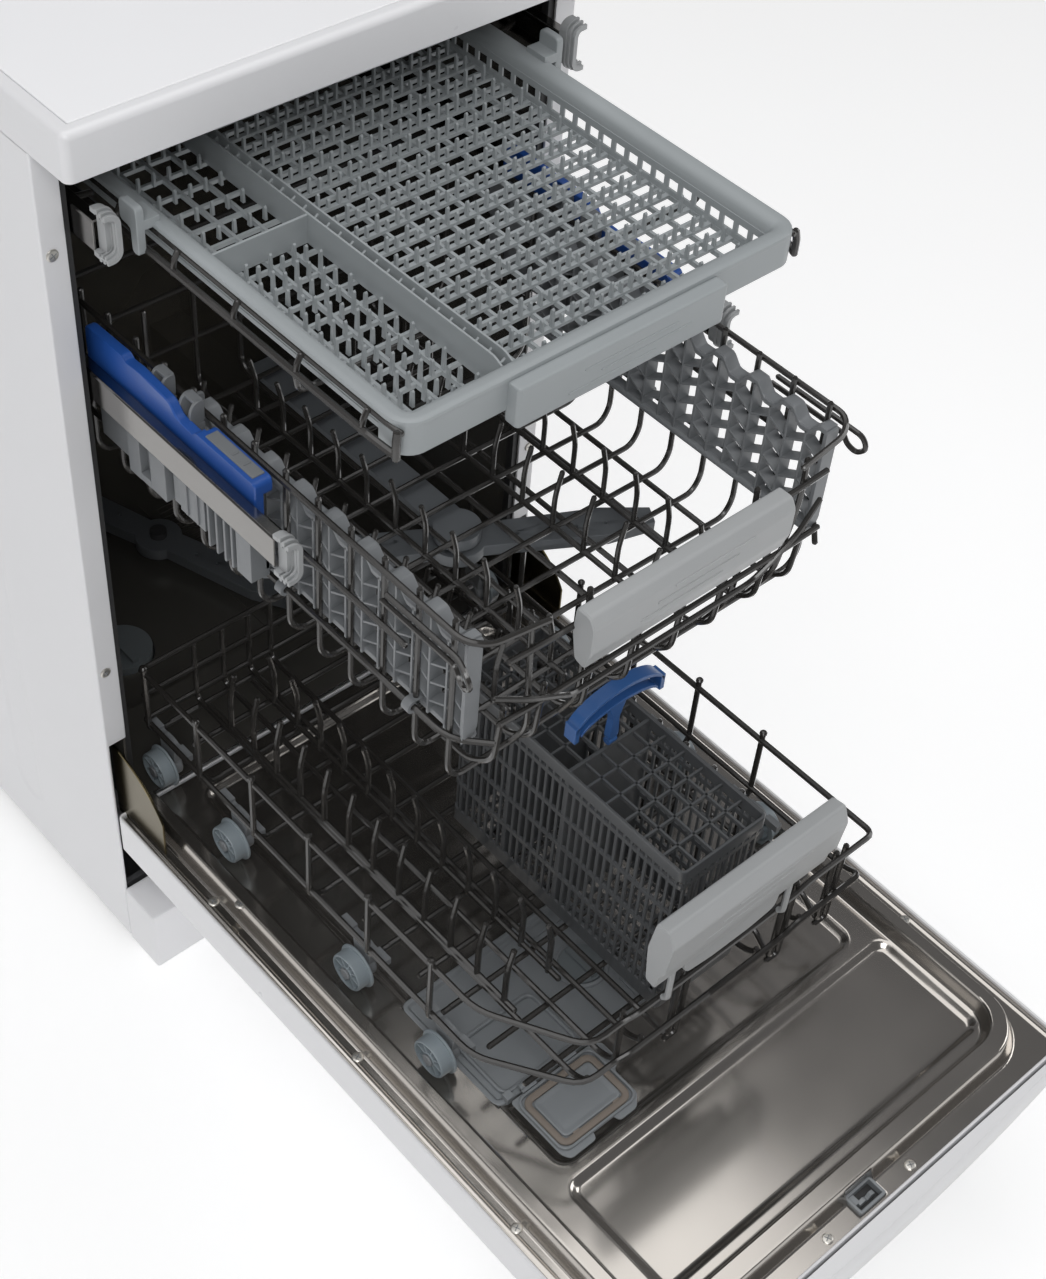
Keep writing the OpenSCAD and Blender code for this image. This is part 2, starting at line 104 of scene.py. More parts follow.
def rect(x, y, r, inset):
    """A rectangle with round corners, drawn anticlockwise."""
    x0, x1, y0, y1 = x[0] + inset, x[1] - inset, y[0] + inset, y[1] - inset
    r = max(r - inset, 0.4)
    out = []
    corners = ((x1 - r, y1 - r), (x0 + r, y1 - r), (x0 + r, y0 + r), (x1 - r, y0 + r))
    for quarter, corner in enumerate(corners):
        out += arc(corner, r, 90 * quarter, 90 * quarter + 90, CORNER_POINTS)
    return out


class Shape:
    """Vertices and faces gathered in drawing millimetres."""

    def __init__(self):
        self.verts = []
        self.faces = []

    def add(self, verts, faces):
        first = len(self.verts)
        self.verts += [tuple(v) for v in verts]
        self.faces += [tuple(i + first for i in f) for f in faces]
        return self

    def block(self, x, y, z):
        verts = [(a, b, c) for c in z for b in y for a in x]
        return self.add(verts, BLOCK_FACES)

    def rings(self, rings, loop=False):
        """Joins rings of the same number of points."""
        n = len(rings[0])
        verts = [p for ring in rings for p in ring]
        faces = []
        count = len(rings)
        for a in range(count if loop else count - 1):
            b = (a + 1) % count
            faces += [(a * n + i, a * n + (i + 1) % n, b * n + (i + 1) % n, b * n + i) for i in range(n)]
        if not loop:
            faces.append(tuple(reversed(range(n))))
            faces.append(tuple(range((count - 1) * n, count * n)))
        return self.add(verts, faces)

    def loft(self, x, y, r, levels, loop=False):
        """Rounded rectangles stacked at (inset, z) levels."""
        return self.rings([[(px, py, z) for px, py in rect(x, y, r, inset)] for inset, z in levels],
            loop=loop)

    def prism(self, outline, plane, low, high, ease=0.0):
        """An outline pushed through from low to high along the axis that its plane leaves out."""
        c = np.mean(np.array(outline), axis=0)
        steps = [(ease, low), (0, low + ease), (0, high - ease), (ease, high)] if ease else [(0, low),
            (0, high)]
        rings = []
        for pull, level in steps:
            ring = []
            for p in outline:
                d = np.array(p) - c
                size = np.linalg.norm(d)
                q = c + d * (size - pull) / size if size else c
                ring.append({"xy": (q[0], q[1], level), "xz": (q[0], level, q[1]),
                    "yz": (level, q[0], q[1])}[plane])
            rings.append(ring)
        return self.rings(rings)

    def tube(self, path, radius, sides=8):
        """A round wire along a path, with its two ends drawn in."""
        pts = np.array(path, float)
        tangents = np.gradient(pts, axis=0)
        tangents /= np.linalg.norm(tangents, axis=1)[:, None]
        up = np.array([0, 0, 1.0]) if abs(tangents[0][2]) < 0.9 else np.array([1.0, 0, 0])
        side = np.cross(tangents[0], up)
        side /= np.linalg.norm(side)
        rings = []
        for p, t in zip(pts, tangents):
            side = side - t * (side @ t)
            side /= np.linalg.norm(side)
            other = np.cross(t, side)
            angles = np.arange(sides) * 2 * math.pi / sides
            rings.append([p + radius * (math.cos(a) * side + math.sin(a) * other) for a in angles])
        first, last = [pts[i] + way * tangents[i] * radius * 0.5 for i, way in ((0, -1), (-1, 1))]
        rings.insert(0, [first + (q - pts[0]) * TIP for q in rings[0]])
        rings.append([last + (q - pts[-1]) * TIP for q in rings[-1]])
        return self.rings(rings)

    def wire(self, points, radius, bend=6.0):
        return self.tube(rounded(points, bend), radius)

    def bar(self, points, radius, plane, low, high, ease=0.0):
        """A prism whose outline has round corners."""
        return self.prism(rounded(points, radius, 4, True), plane, low, high, ease)

    def lathe(self, profile, centre, axis, steps):
        """A closed profile of (along the axis, radius) points turned about an axis."""
        rings = []
        for a in np.arange(steps) * 2 * math.pi / steps:
            ring = []
            for along, radius in profile:
                u, v = radius * math.cos(a), radius * math.sin(a)
                offset = {"x": (along, u, v), "y": (u, along, v), "z": (u, v, along)}[axis]
                ring.append(tuple(np.array(centre) + np.array(offset)))
            rings.append(ring)
        return self.rings(rings, loop=True)

    def grid(self, xs, ys, height, keep):
        """A sheet over a grid: height(x, y) gives a whole point, keep(x, y) says where there is sheet."""
        verts = [height(x, y) for y in ys for x in xs]
        n = len(xs)
        faces = []
        for j in range(len(ys) - 1):
            for i in range(n - 1):
                if keep((xs[i] + xs[i + 1]) / 2, (ys[j] + ys[j + 1]) / 2):
                    faces.append((j * n + i, j * n + i + 1, (j + 1) * n + i + 1, (j + 1) * n + i))
        return self.add(verts, faces)

    def mirrored(self):
        """Adds the same shape on the other side of the machine."""
        n = len(self.verts)
        self.verts += [(-x, y, z) for x, y, z in self.verts]
        self.faces += [tuple(reversed([i + n for i in f])) for f in self.faces]
        return self

    def flipped(self):
        """Moves the shape to the other side of the machine."""
        self.verts = [(-x, y, z) for x, y, z in self.verts]
        self.faces = [tuple(reversed(f)) for f in self.faces]
        return self


def new_object(name, data):
    obj = bpy.data.objects.new(name, data)
    bpy.context.scene.collection.objects.link(obj)
    return obj


def soften(obj, width):
    """Rounds the sharp edges of a piece, width in millimetres."""
    edge = obj.modifiers.new("edges", "BEVEL")
    edge.width = width * MM
    edge.segments = 2
    edge.limit_method = "ANGLE"
    edge.angle_limit = EDGE_ANGLE
    return edge


def piece(name, shape, body, material, replaces=(), bevel=0.0, thick=0.0, fix=True):
    """Makes the Blender object of a shape and says what it rides on and stands for."""
    mesh = bpy.data.meshes.new(name)
    mesh.from_pydata([tuple(p) for p in placed(shape.verts)], [], shape.faces)
    mesh.validate()
    mesh.update()
    obj = new_object(name, mesh)
    if fix:
        bm = bmesh.new()
        bm.from_mesh(mesh)
        bmesh.ops.recalc_face_normals(bm, faces=bm.faces)
        bm.to_mesh(mesh)
        bm.free()
    mesh.shade_smooth()
    mesh.set_sharp_from_angle(angle=SHARP_ANGLE)
    if thick:
        solid = obj.modifiers.new("thickness", "SOLIDIFY")
        solid.thickness = thick * MM
        solid.offset = -1
    if bevel:
        soften(obj, bevel).harden_normals = True
    normals = obj.modifiers.new("normals", "WEIGHTED_NORMAL")
    normals.keep_sharp = True
    mesh.materials.append(material)
    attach(obj, body)
    if replaces:
        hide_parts(*replaces)
    return obj


# ---- materials


def node_kit(name):
    material = bpy.data.materials.new(name)
    material.use_nodes = True
    tree = material.node_tree
    shader = tree.nodes["Principled BSDF"]
    coords = tree.nodes.new("ShaderNodeTexCoord")
    return material, tree, shader, coords.outputs["Object"]


def noise(tree, vector, scale, detail=4.0):
    """Noise in metres, so the grain keeps its real size."""
    texture = tree.nodes.new("ShaderNodeTexNoise")
    texture.inputs["Scale"].default_value = scale
    texture.inputs["Detail"].default_value = detail
    tree.links.new(vector, texture.inputs["Vector"])
    return texture.outputs["Fac"]


def ranged(tree, value, low, high):
    node = tree.nodes.new("ShaderNodeMapRange")
    for socket, level in zip(("From Min", "From Max", "To Min", "To Max"), (*NOISE_SPAN, low, high)):
        node.inputs[socket].default_value = level
    tree.links.new(value, node.inputs["Value"])
    return node.outputs["Result"]


def toned(tree, value, dark, light):
    ramp = tree.nodes.new("ShaderNodeValToRGB")
    for stop, place, colour in zip(ramp.color_ramp.elements, NOISE_SPAN, (dark, light)):
        stop.position = place
        stop.color = (*colour, 1)
    tree.links.new(value, ramp.inputs["Fac"])
    return ramp.outputs["Color"]


def bumped(tree, shader, value, strength, distance=0.0002):
    bump = tree.nodes.new("ShaderNodeBump")
    bump.inputs["Strength"].default_value = strength
    bump.inputs["Distance"].default_value = distance
    tree.links.new(value, bump.inputs["Height"])
    tree.links.new(bump.outputs["Normal"], shader.inputs["Normal"])


def shade(colour, factor):
    return tuple(min(c * factor, 1.0) for c in colour)


def clouded(name, colour, tone, gloss):
    """A material with clouding: tone is noise scale, detail, darkest and lightest factor of the colour,
    and gloss is noise scale, detail, lowest and highest roughness."""
    material, tree, shader, vector = node_kit(name)
    dark, light = shade(colour, tone[2]), shade(colour, tone[3])
    tree.links.new(toned(tree, noise(tree, vector, *tone[:2]), dark, light), shader.inputs["Base Color"])
    tree.links.new(ranged(tree, noise(tree, vector, *gloss[:2]), *gloss[2:]), shader.inputs["Roughness"])
    return material, tree, shader, vector


def moulded(name, colour, rough, bump, spread, grain=900.0, coat=0.0):
    """Moulded plastic: fine spark-eroded grain, faint clouding in colour and gloss."""
    material, tree, shader, vector = clouded(
        name, colour, (14.0, 4.0, 1 - spread, 1 + spread), (60.0, 4.0, rough - 0.06, rough + 0.06))
    bumped(tree, shader, noise(tree, vector, grain, 2.0), bump)
    if coat:
        shader.inputs["Coat Weight"].default_value = coat
        shader.inputs["Coat Roughness"].default_value = 0.12
    return material


def enamel(name, colour, rough=0.3):
    """Powder-coated sheet: a faint orange peel over an even colour."""
    material, tree, shader, vector = clouded(
        name, colour, (3.0, 4.0, 0.985, 1.01), (25.0, 4.0, rough - 0.04, rough + 0.05))
    bumped(tree, shader, noise(tree, vector, 260.0, 1.0), 0.03)
    return material


def steel(name, colour, rough, grain=0.0, metal=1.0):
    """Polished sheet with soft smears and a faint wave, or plated sheet with a fine grain."""
    material, tree, shader, vector = clouded(
        name, colour, (6.0, 3.0, 0.93, 1.06), (11.0, 2.0, rough - 0.03, rough + 0.05))
    shader.inputs["Metallic"].default_value = metal
    if grain:
        bumped(tree, shader, noise(tree, vector, 350.0, 2.0), grain)
    else:
        bumped(tree, shader, noise(tree, vector, 9.0, 1.0), 0.03, 0.002)
    return material


WHITE = enamel("white_enamel", (0.80, 0.80, 0.815))
TOP = enamel("white_laminate", (0.92, 0.92, 0.935), 0.34)
WHITE_PLASTIC = moulded("white_plastic", (0.80, 0.80, 0.81), 0.35, 0.06, 0.01, 600.0)
# The stainless colours lean brown: a painted reflection of dim brown surroundings.
INNER_STEEL = steel("stainless_door", (0.50, 0.47, 0.435), 0.15, metal=0.94)
# The tub's and the rails' stainless is about half as bright as the door sheet's: painted shade deep inside
# the machine.
SHADED_TUB_STEEL = steel("stainless_tub", (0.24, 0.23, 0.21), 0.2, metal=0.72)
SHADED_RAIL_STEEL = steel("stainless_rail_painted_shade", (0.27, 0.262, 0.252), 0.17)
ZINC = steel("galvanised_steel", (0.52, 0.53, 0.54), 0.40, grain=0.08)
# Yellow zinc darkened far below its own colour: painted shade on the hinge plates' faces.
SHADED_HINGE_ZINC = steel("hinge_zinc", (0.115, 0.095, 0.052), 0.24, grain=0.04)
SCREW = steel("screw_steel", (0.60, 0.58, 0.54), 0.32, metal=0.9)
WIRE = moulded("coated_wire", (0.028, 0.026, 0.024), 0.22, 0.03, 0.10, 500.0, 0.5)
TRAY = moulded("tray_grey", (0.335, 0.36, 0.37), 0.38, 0.08, 0.04, 1100.0)
HANDLE = moulded("handle_grey", (0.385, 0.395, 0.40), 0.42, 0.10, 0.04, 1100.0)
LATTICE = moulded("lattice_grey", (0.20, 0.21, 0.22), 0.40, 0.08, 0.06)
WHEEL = moulded("wheel_grey", (0.25, 0.29, 0.315), 0.38, 0.06, 0.05)
BLUE = moulded("blue_plastic", (0.020, 0.090, 0.37), 0.34, 0.08, 0.05, coat=0.2)
PALE_BLUE = moulded("carrier_blue", (0.034, 0.115, 0.33), 0.36, 0.06, 0.05, coat=0.2)
DARK = moulded("cutlery_dark", (0.082, 0.086, 0.09), 0.36, 0.06, 0.08, coat=0.2)
DISPENSER = moulded("dispenser_grey", (0.235, 0.25, 0.262), 0.34, 0.06, 0.04, 1000.0)
GASKET = moulded("gasket_beige", (0.23, 0.195, 0.165), 0.6, 0.2, 0.08, 500.0)
RUBBER = moulded("rubber_seal", (0.028, 0.028, 0.029), 0.55, 0.2, 0.1, 500.0)
BASE = moulded("base_plastic", (0.05, 0.05, 0.053), 0.5, 0.2, 0.08, 700.0)
IRON = moulded("cast_weight", (0.12, 0.125, 0.13), 0.7, 0.5, 0.15, 220.0)
SPRAY = moulded("spray_plastic", (0.13, 0.14, 0.15), 0.4, 0.08, 0.05)
FILTER = moulded("filter_plastic", (0.17, 0.19, 0.20), 0.42, 0.1, 0.05)
SILVER = moulded("button_silver", (0.52, 0.53, 0.54), 0.3, 0.05, 0.02)

NODE_LOOKS = (
    (ZINC, ("rear_panel", "hinge_brackets", "door_springs")),
    (BASE, ("base_tray", "sump", "pumps", "levelling_feet")),
    (SHADED_TUB_STEEL, ("tub", "filter_plate")),
    (SHADED_RAIL_STEEL, ("rail_guides",)),
    (RUBBER, ("tub_seal",)),
    (IRON, ("counterweight",)),
    (FILTER, ("filter_cylinder", "salt_cap", "rinse_aid_cap")),
    (WHITE_PLASTIC, ("inlet_valve", "control_fascia")),
    (SPRAY, ("ceiling_spray_arm", "upper_spray_arm", "upper_spray_feed", "lower_spray_arm")),
    (SHADED_HINGE_ZINC, ("hinge_plates",)),
    (SILVER, ("power_button", "program_button")),
)


def dress(name, material, bevel):
    """Gives a carried CAD node its material and softened edges."""
    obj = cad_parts[name]
    for slot in obj.material_slots:
        slot.material = material
    if not obj.material_slots:
        obj.data.materials.append(material)
    weld = obj.modifiers.new("weld", "WELD")
    weld.merge_threshold = WELD_GAP
    soften(obj, bevel)


for look, node_names in NODE_LOOKS:
    for node_name in node_names:
        dress(node_name, look, 1.2 if node_name == "control_fascia" else 0.5)

# ---- sizes taken from the frame

(_, TOP_FRONT, UNDER_TOP), (HALF_W, TOP_REAR, TOP_Z) = drawn("worktop")
PANEL_REAR = drawn("side_panel_left")[1][1]
PANEL_LOW = drawn("side_panel_left")[0][2]
DOOR_Z = drawn("dispenser_housing")[1][2] - 0.5
ROLL_Z = drawn("door_inner_panel")[1][2]
DOOR_LOW = drawn("door_outer_panel")[0][2]
DOOR_HALF_W = drawn("door_outer_panel")[1][0]
DOOR_FRONT = drawn("door_inner_panel")[0][1] - 2.5

# ---- cabinet


def make_worktop():
    span, depth = (-HALF_W, HALF_W), (TOP_FRONT, TOP_REAR)
    edge = [(2.0, UNDER_TOP), (0.5, UNDER_TOP + 0.4), (0, UNDER_TOP + 1.5), (0, TOP_Z - 5)]
    edge += [(5 - 5 * math.cos(a), TOP_Z - 5 + 5 * math.sin(a)) for a in np.radians([18, 36, 54, 72, 90])]
    edge += [(9.6, TOP_Z), (10.0, TOP_Z - 0.5), (10.0, TOP_Z - 2.2)]
    piece("worktop_frame", Shape().loft(span, depth, 6, edge), "cabinet", WHITE, ["worktop"])
    inner = [(10.9, TOP_Z - 2.6), (10.9, TOP_Z - 0.6), (11.3, TOP_Z - 0.15), (12.0, TOP_Z)]
    piece("worktop_board", Shape().loft(span, depth, 12, inner), "cabinet", TOP,
        ["worktop_panel"])


def smooth_step(t):
    t = min(max(t, 0.0), 1.0)
    return t * t * (3 - 2 * t)


BEAD_ENDS = (68.0, 782.0)
BEAD_HALF = 20.0
BEAD_WALL = 4.0


def bead_depth(y, z, middle):
    """1 inside a long round-ended stiffening bead, 0 outside."""
    centre_z = min(max(z, BEAD_ENDS[0] + BEAD_HALF), BEAD_ENDS[1] - BEAD_HALF)
    return smooth_step((BEAD_HALF - math.hypot(y - middle, z - centre_z)) / BEAD_WALL)


def make_side_panel(name, node, side):
    outer, flange_in, foot_in, corner = HALF_W - 0.4, 205.0, 221.0, 1.6
    cross = [(-flange_in, 2.2), (-flange_in, 0.4), (-flange_in - 1, 0.05)]
    cross += [(-foot_in, 0.05), (-outer + corner, 0.05)]
    cross += [(-outer + corner * (1 - math.sin(a)), corner * (1 - math.cos(a)) + 0.05)
        for a in np.radians([22, 45, 68, 90])]
    ys = list(np.arange(8, 100, 15)) + list(np.arange(100, 200, 2.5)) + list(np.arange(200, 380, 20))
    ys += list(np.arange(380, 460, 2.5)) + list(np.arange(460, PANEL_REAR - 4, 15))
    ys += [PANEL_REAR - 2, PANEL_REAR - 0.4]
    cross += [(-outer, y) for y in ys]
    cross += [(-outer + 0.6, PANEL_REAR - 0.05), (-outer + 12, PANEL_REAR - 0.05)]
    zs = [PANEL_LOW, 40, 60] + list(np.arange(62, 100, 2.5)) + list(np.arange(100, 260, 16)) + [268]
    zs += list(np.arange(280, 740, 20)) + list(np.arange(740, 790, 2.5)) + [UNDER_TOP - 0.2]

    def point(i, z):
        x, y = cross[int(i)]
        dent = 0.9 * max(bead_depth(y, z, 146), bead_depth(y, z, 412)) if x <= -outer else 0
        return (x + dent, y, z)

    def keep(i, z):
        x = (cross[int(i)][0] + cross[int(i) + 1][0]) / 2
        y = (cross[int(i)][1] + cross[int(i) + 1][1]) / 2
        if x > -foot_in and y < 5 and z < 268:
            return False
        return not (y > PANEL_REAR - 27 and z < 120)

    shape = Shape().grid(range(len(cross)), zs, point, keep)
    if side > 0:
        shape.flipped()
    piece(name, shape, "cabinet", WHITE, [node], thick=-1.1, fix=False)


def make_plinth():
    low, high = drawn("plinth")
    levels = [(3, low[2]), (0.8, low[2] + 0.6), (0, low[2] + 2.5), (0, high[2] - 3), (0.9, high[2] - 0.9),
        (3, high[2])]
    shape = Shape().loft((low[0], high[0]), (low[1], high[1] - 0.2), 3, levels)
    piece("plinth_panel", shape, "cabinet", WHITE, ["plinth"])


def screw(head, recess_shade, centre, axis, side=1):
    """A flat pan-head screw standing out along +axis or -axis, and the cross in its top as a dark bar, a
    painted shade of the cross recess.
    """
    radius, rise = 4.5, 1.4
    profile = [(0, 0.05), (0, radius), (rise * 0.5, radius * 0.98), (rise * 0.85, radius * 0.86)]
    profile += [(rise, radius * 0.66), (rise, 0.05)]
    head.lathe([(side * a, r) for a, r in profile], centre, axis, 24)
    along = np.array({"y": (0, side, 0), "z": (0, 0, side)}[axis], float)
    for turn in (25, 115):
        c, s = math.cos(math.radians(turn)), math.sin(math.radians(turn))
        flat = np.array({"y": (c, 0, s), "z": (c, s, 0)}[axis]) * radius * 0.56
        top = np.array(centre, float) + along * (rise - 0.2)
        # The cross is a dark bar laid on the head: painted shade of the cross recess.
        recess_shade.tube([top - flat, top + flat], 0.5, 6)


def make_screws():
    head, recess_shade = Shape(), Shape()
    for z in (351, 735):
        screw(head, recess_shade, (-215.8, 0.1, z), "y", side=-1)
    piece("flange_screws", head.mirrored(), "cabinet", SCREW, ["panel_screws"])
    # Painted shade: the dark crosses stand for the shade in the screws' cross recesses.
    piece("flange_screw_recess_shade", recess_shade.mirrored(), "cabinet", LATTICE)
    head, recess_shade = Shape(), Shape()
    for x, y in ((-211.5, -120), (-211.5, -304), (-211.5, -485), (-201.5, -143), (-45.5, -634)):
        screw(head, recess_shade, (x, y, door_height(x, y)[2] - 0.1), "z")
    piece("inner_door_screws", head.mirrored(), "door", SCREW, ["door_screws"])
    piece("inner_door_screw_recess_shade", recess_shade.mirrored(), "door", LATTICE)


# ---- door


def make_door_pan():
    span, depth = (-DOOR_HALF_W, DOOR_HALF_W), (DOOR_FRONT + 1.8, -2.0)
    levels = [(3, DOOR_LOW), (1, DOOR_LOW + 0.8), (0, DOOR_LOW + 3), (0, DOOR_Z - 1.4), (0.4, DOOR_Z - 0.4),
        (1.2, DOOR_Z), (2.2, DOOR_Z - 0.3), (2.7, DOOR_Z - 1.2), (2.7, DOOR_Z - 6)]
    shape = Shape().loft(span, depth, 5, levels)
    sill = [(1, DOOR_LOW), (0, DOOR_LOW + 0.8), (0, DOOR_LOW + 11), (1, DOOR_LOW + 12)]
    shape.loft((-208, 208), (-4, 70), 3, sill)
    piece("door_outer_pan", shape, "door", WHITE, ["door_outer_panel"])


def pressed(x, y, x0, x1, y0, y1, r, edge):
    """1 inside a round-cornered pressing, 0 outside, with a soft wall."""
    dx = max(x0 + r - x, x - x1 + r, 0)
    dy = max(y0 + r - y, y - y1 + r, 0)
    inside = r - math.hypot(dx, dy) if dx > 0 or dy > 0 else min(x - x0, x1 - x, y - y0, y1 - y)
    return smooth_step(inside / edge)


def ridge(d, width):
    """A rounded ridge across a distance d from its middle."""
    return math.exp(-(d / width) ** 2)


LATCH_X = (-14, 14)
LATCH_Y = (-638, -620)


def door_height(x, y):
    """The pressed inner sheet: a flat edge, the tall roll, the wheel tracks and the two pans."""
    roll = (ROLL_Z - DOOR_Z + 2.4) * pressed(x, y, -208, 208, -626, 40, 46, 8.5)
    inside = (ROLL_Z - DOOR_Z) * pressed(x, y, -191, 191, -605, 40, 30, 6.5)
    front_pan = 4.6 * pressed(x, y, -166, 184, -592, -482, 14, 8)
    middle_pan = 4.2 * pressed(x, y, -157, 164, -474, -24, 14, 7)
    lip = 0.7 * ridge(x + 216, 1.6) + 0.7 * ridge(x - 216, 1.6)
    return (x, y, DOOR_Z - 2.4 + roll - inside - max(front_pan, middle_pan) + lip)


def make_inner_panel():
    xs = [np.arange(-220.0, -180, 1.0), np.arange(-180.0, 180, 1.8), np.arange(180.0, 220.1, 1.0)]
    ys = [np.arange(DOOR_FRONT + 3.0, -590, 1.0), np.arange(-590.0, -6.0, 1.8)]

    def keep(x, y):
        in_dispenser = -159 < x < 9 and -404 < y < -291
        in_latch = LATCH_X[0] < x < LATCH_X[1] and LATCH_Y[0] < y < LATCH_Y[1]
        return not in_dispenser and not in_latch

    shape = Shape().grid(np.concatenate(xs), np.concatenate(ys), door_height, keep)
    piece("inner_door_sheet", shape, "door", INNER_STEEL, ["door_inner_panel"], thick=0.8,
        fix=False)


def make_dispenser():
    top = DOOR_Z + 0.4
    shape = Shape()
    rim = [(0, top - 26), (0, top - 1), (0.8, top), (4, top), (5, top - 1), (6, top - 2.4)]
    shape.loft((-160.3, 10.3), (-405.4, -289.6), 8, rim)
    well = [(0, top - 19), (0, top + 0.2), (0.6, top + 0.8), (2.2, top + 0.8), (3, top), (4, top - 17)]
    shape.loft((-150, -72), (-401, -342), 9, well)
    for x in (-40, -10):
        shape.block((x, x + 2), (-402, -378), (top - 3, top - 0.6))
    shape.block((-66, 4), (-308, -300), (top - 3, top - 0.5))
    ring = [(-1.5, 18.4), (1.0, 18.4), (1.4, 19.2), (1.0, 21.4), (-1.5, 22)]
    shape.lathe(ring, (-25, -350, top - 1), "z", 40)
    for x in (-152, -74):
        shape.block((x, x + 7), (-407, -400), (top - 2, top + 5.4))
    piece("dispenser_body", shape, "door", DISPENSER, ["dispenser_housing"], bevel=0.4)

    lid = Shape()
    z0 = DOOR_Z + 0.9
    outline = [(-150, -408), (-150, -464), (-146, -471), (-121, -471), (-119, -464), (-99, -464),
        (-97, -471), (-80, -471), (-71, -462), (-71, -437), (-62, -433), (-62, -413), (-71, -409)]
    lid.bar(outline, 3, "xy", z0, z0 + 1.6, 0.3)
    span, depth = (-148.6, -72.4), (-466, -410)
    rim = [(0, z0 + 1.4), (0, z0 + 4.2), (0.5, z0 + 4.6), (1.6, z0 + 4.6), (2.1, z0 + 4.2), (2.1, z0 + 1.4)]
    lid.loft(span, depth, 9, rim, loop=True)
    dome = [(9.4, z0 + 1.2), (9.4, z0 + 3.4), (9.9, z0 + 3.9), (10.8, z0 + 4.1), (13.0, z0 + 3.5)]
    lid.loft(span, depth, 14, dome + [(15, z0 + 3.3)])
    for x in (-138, -98):
        lid.lathe([(0, 1.0), (0, 2.7), (14, 2.7), (14, 1.0)], (x, -404, DOOR_Z + 4), "x", 20)
        lid.block((x, x + 14), (-409, -404), (z0 + 1.4, z0 + 3.4))
    for k in range(4):
        lid.block((-70 + 2.1 * k, -69.1 + 2.1 * k), (-431, -416), (z0 + 1.5, z0 + 2.7))
    piece("dispenser_cover", lid, "dispenser_lid", DISPENSER, ["dispenser_lid"], bevel=0.25)
    seal = Shape()
    round_edge = [(3.0, z0 + 1.5), (3.0, z0 + 3.0), (3.8, z0 + 3.8), (5.6, z0 + 4.0)]
    round_edge += [(7.6, z0 + 3.8), (8.6, z0 + 3.0), (8.6, z0 + 1.5)]
    seal.loft(span, depth, 12, round_edge, loop=True)
    for x in (-132, -92):
        seal.block((x, x + 6), (-458.5, -455.5), (z0 + 1.5, z0 + 3.3))
    piece("dispenser_gasket", seal, "dispenser_lid", GASKET)


def make_latch():
    top = DOOR_Z + 0.3
    shape, throat_shade = Shape(), Shape()
    levels = [(0, top - 14), (0, top), (0.5, top + 0.6), (2.0, top + 0.6), (2.6, top), (2.6, top - 12)]
    shape.loft(LATCH_X, LATCH_Y, 2, levels, loop=True)
    hook = [(-8, top - 9), (-8, top - 2), (-3, top - 0.5), (1, top - 4), (4, top - 0.5), (8, top - 2)]
    shape.prism(hook + [(8, top - 9)], "xz", -632, -628.5)
    shape.block((-11.5, -6), (-630, -622.5), (top - 9, top - 1.5))
    piece("latch_block", shape, "door", DISPENSER, ["door_latch"], bevel=0.3)
    # A black block low in the latch opening: painted shade inside the opening.
    throat_shade.block((-11.6, 11.6), (-635.6, -622.4), (top - 12, top - 6))
    piece("latch_throat_shade", throat_shade, "door", RUBBER)


# ---- cutlery tray


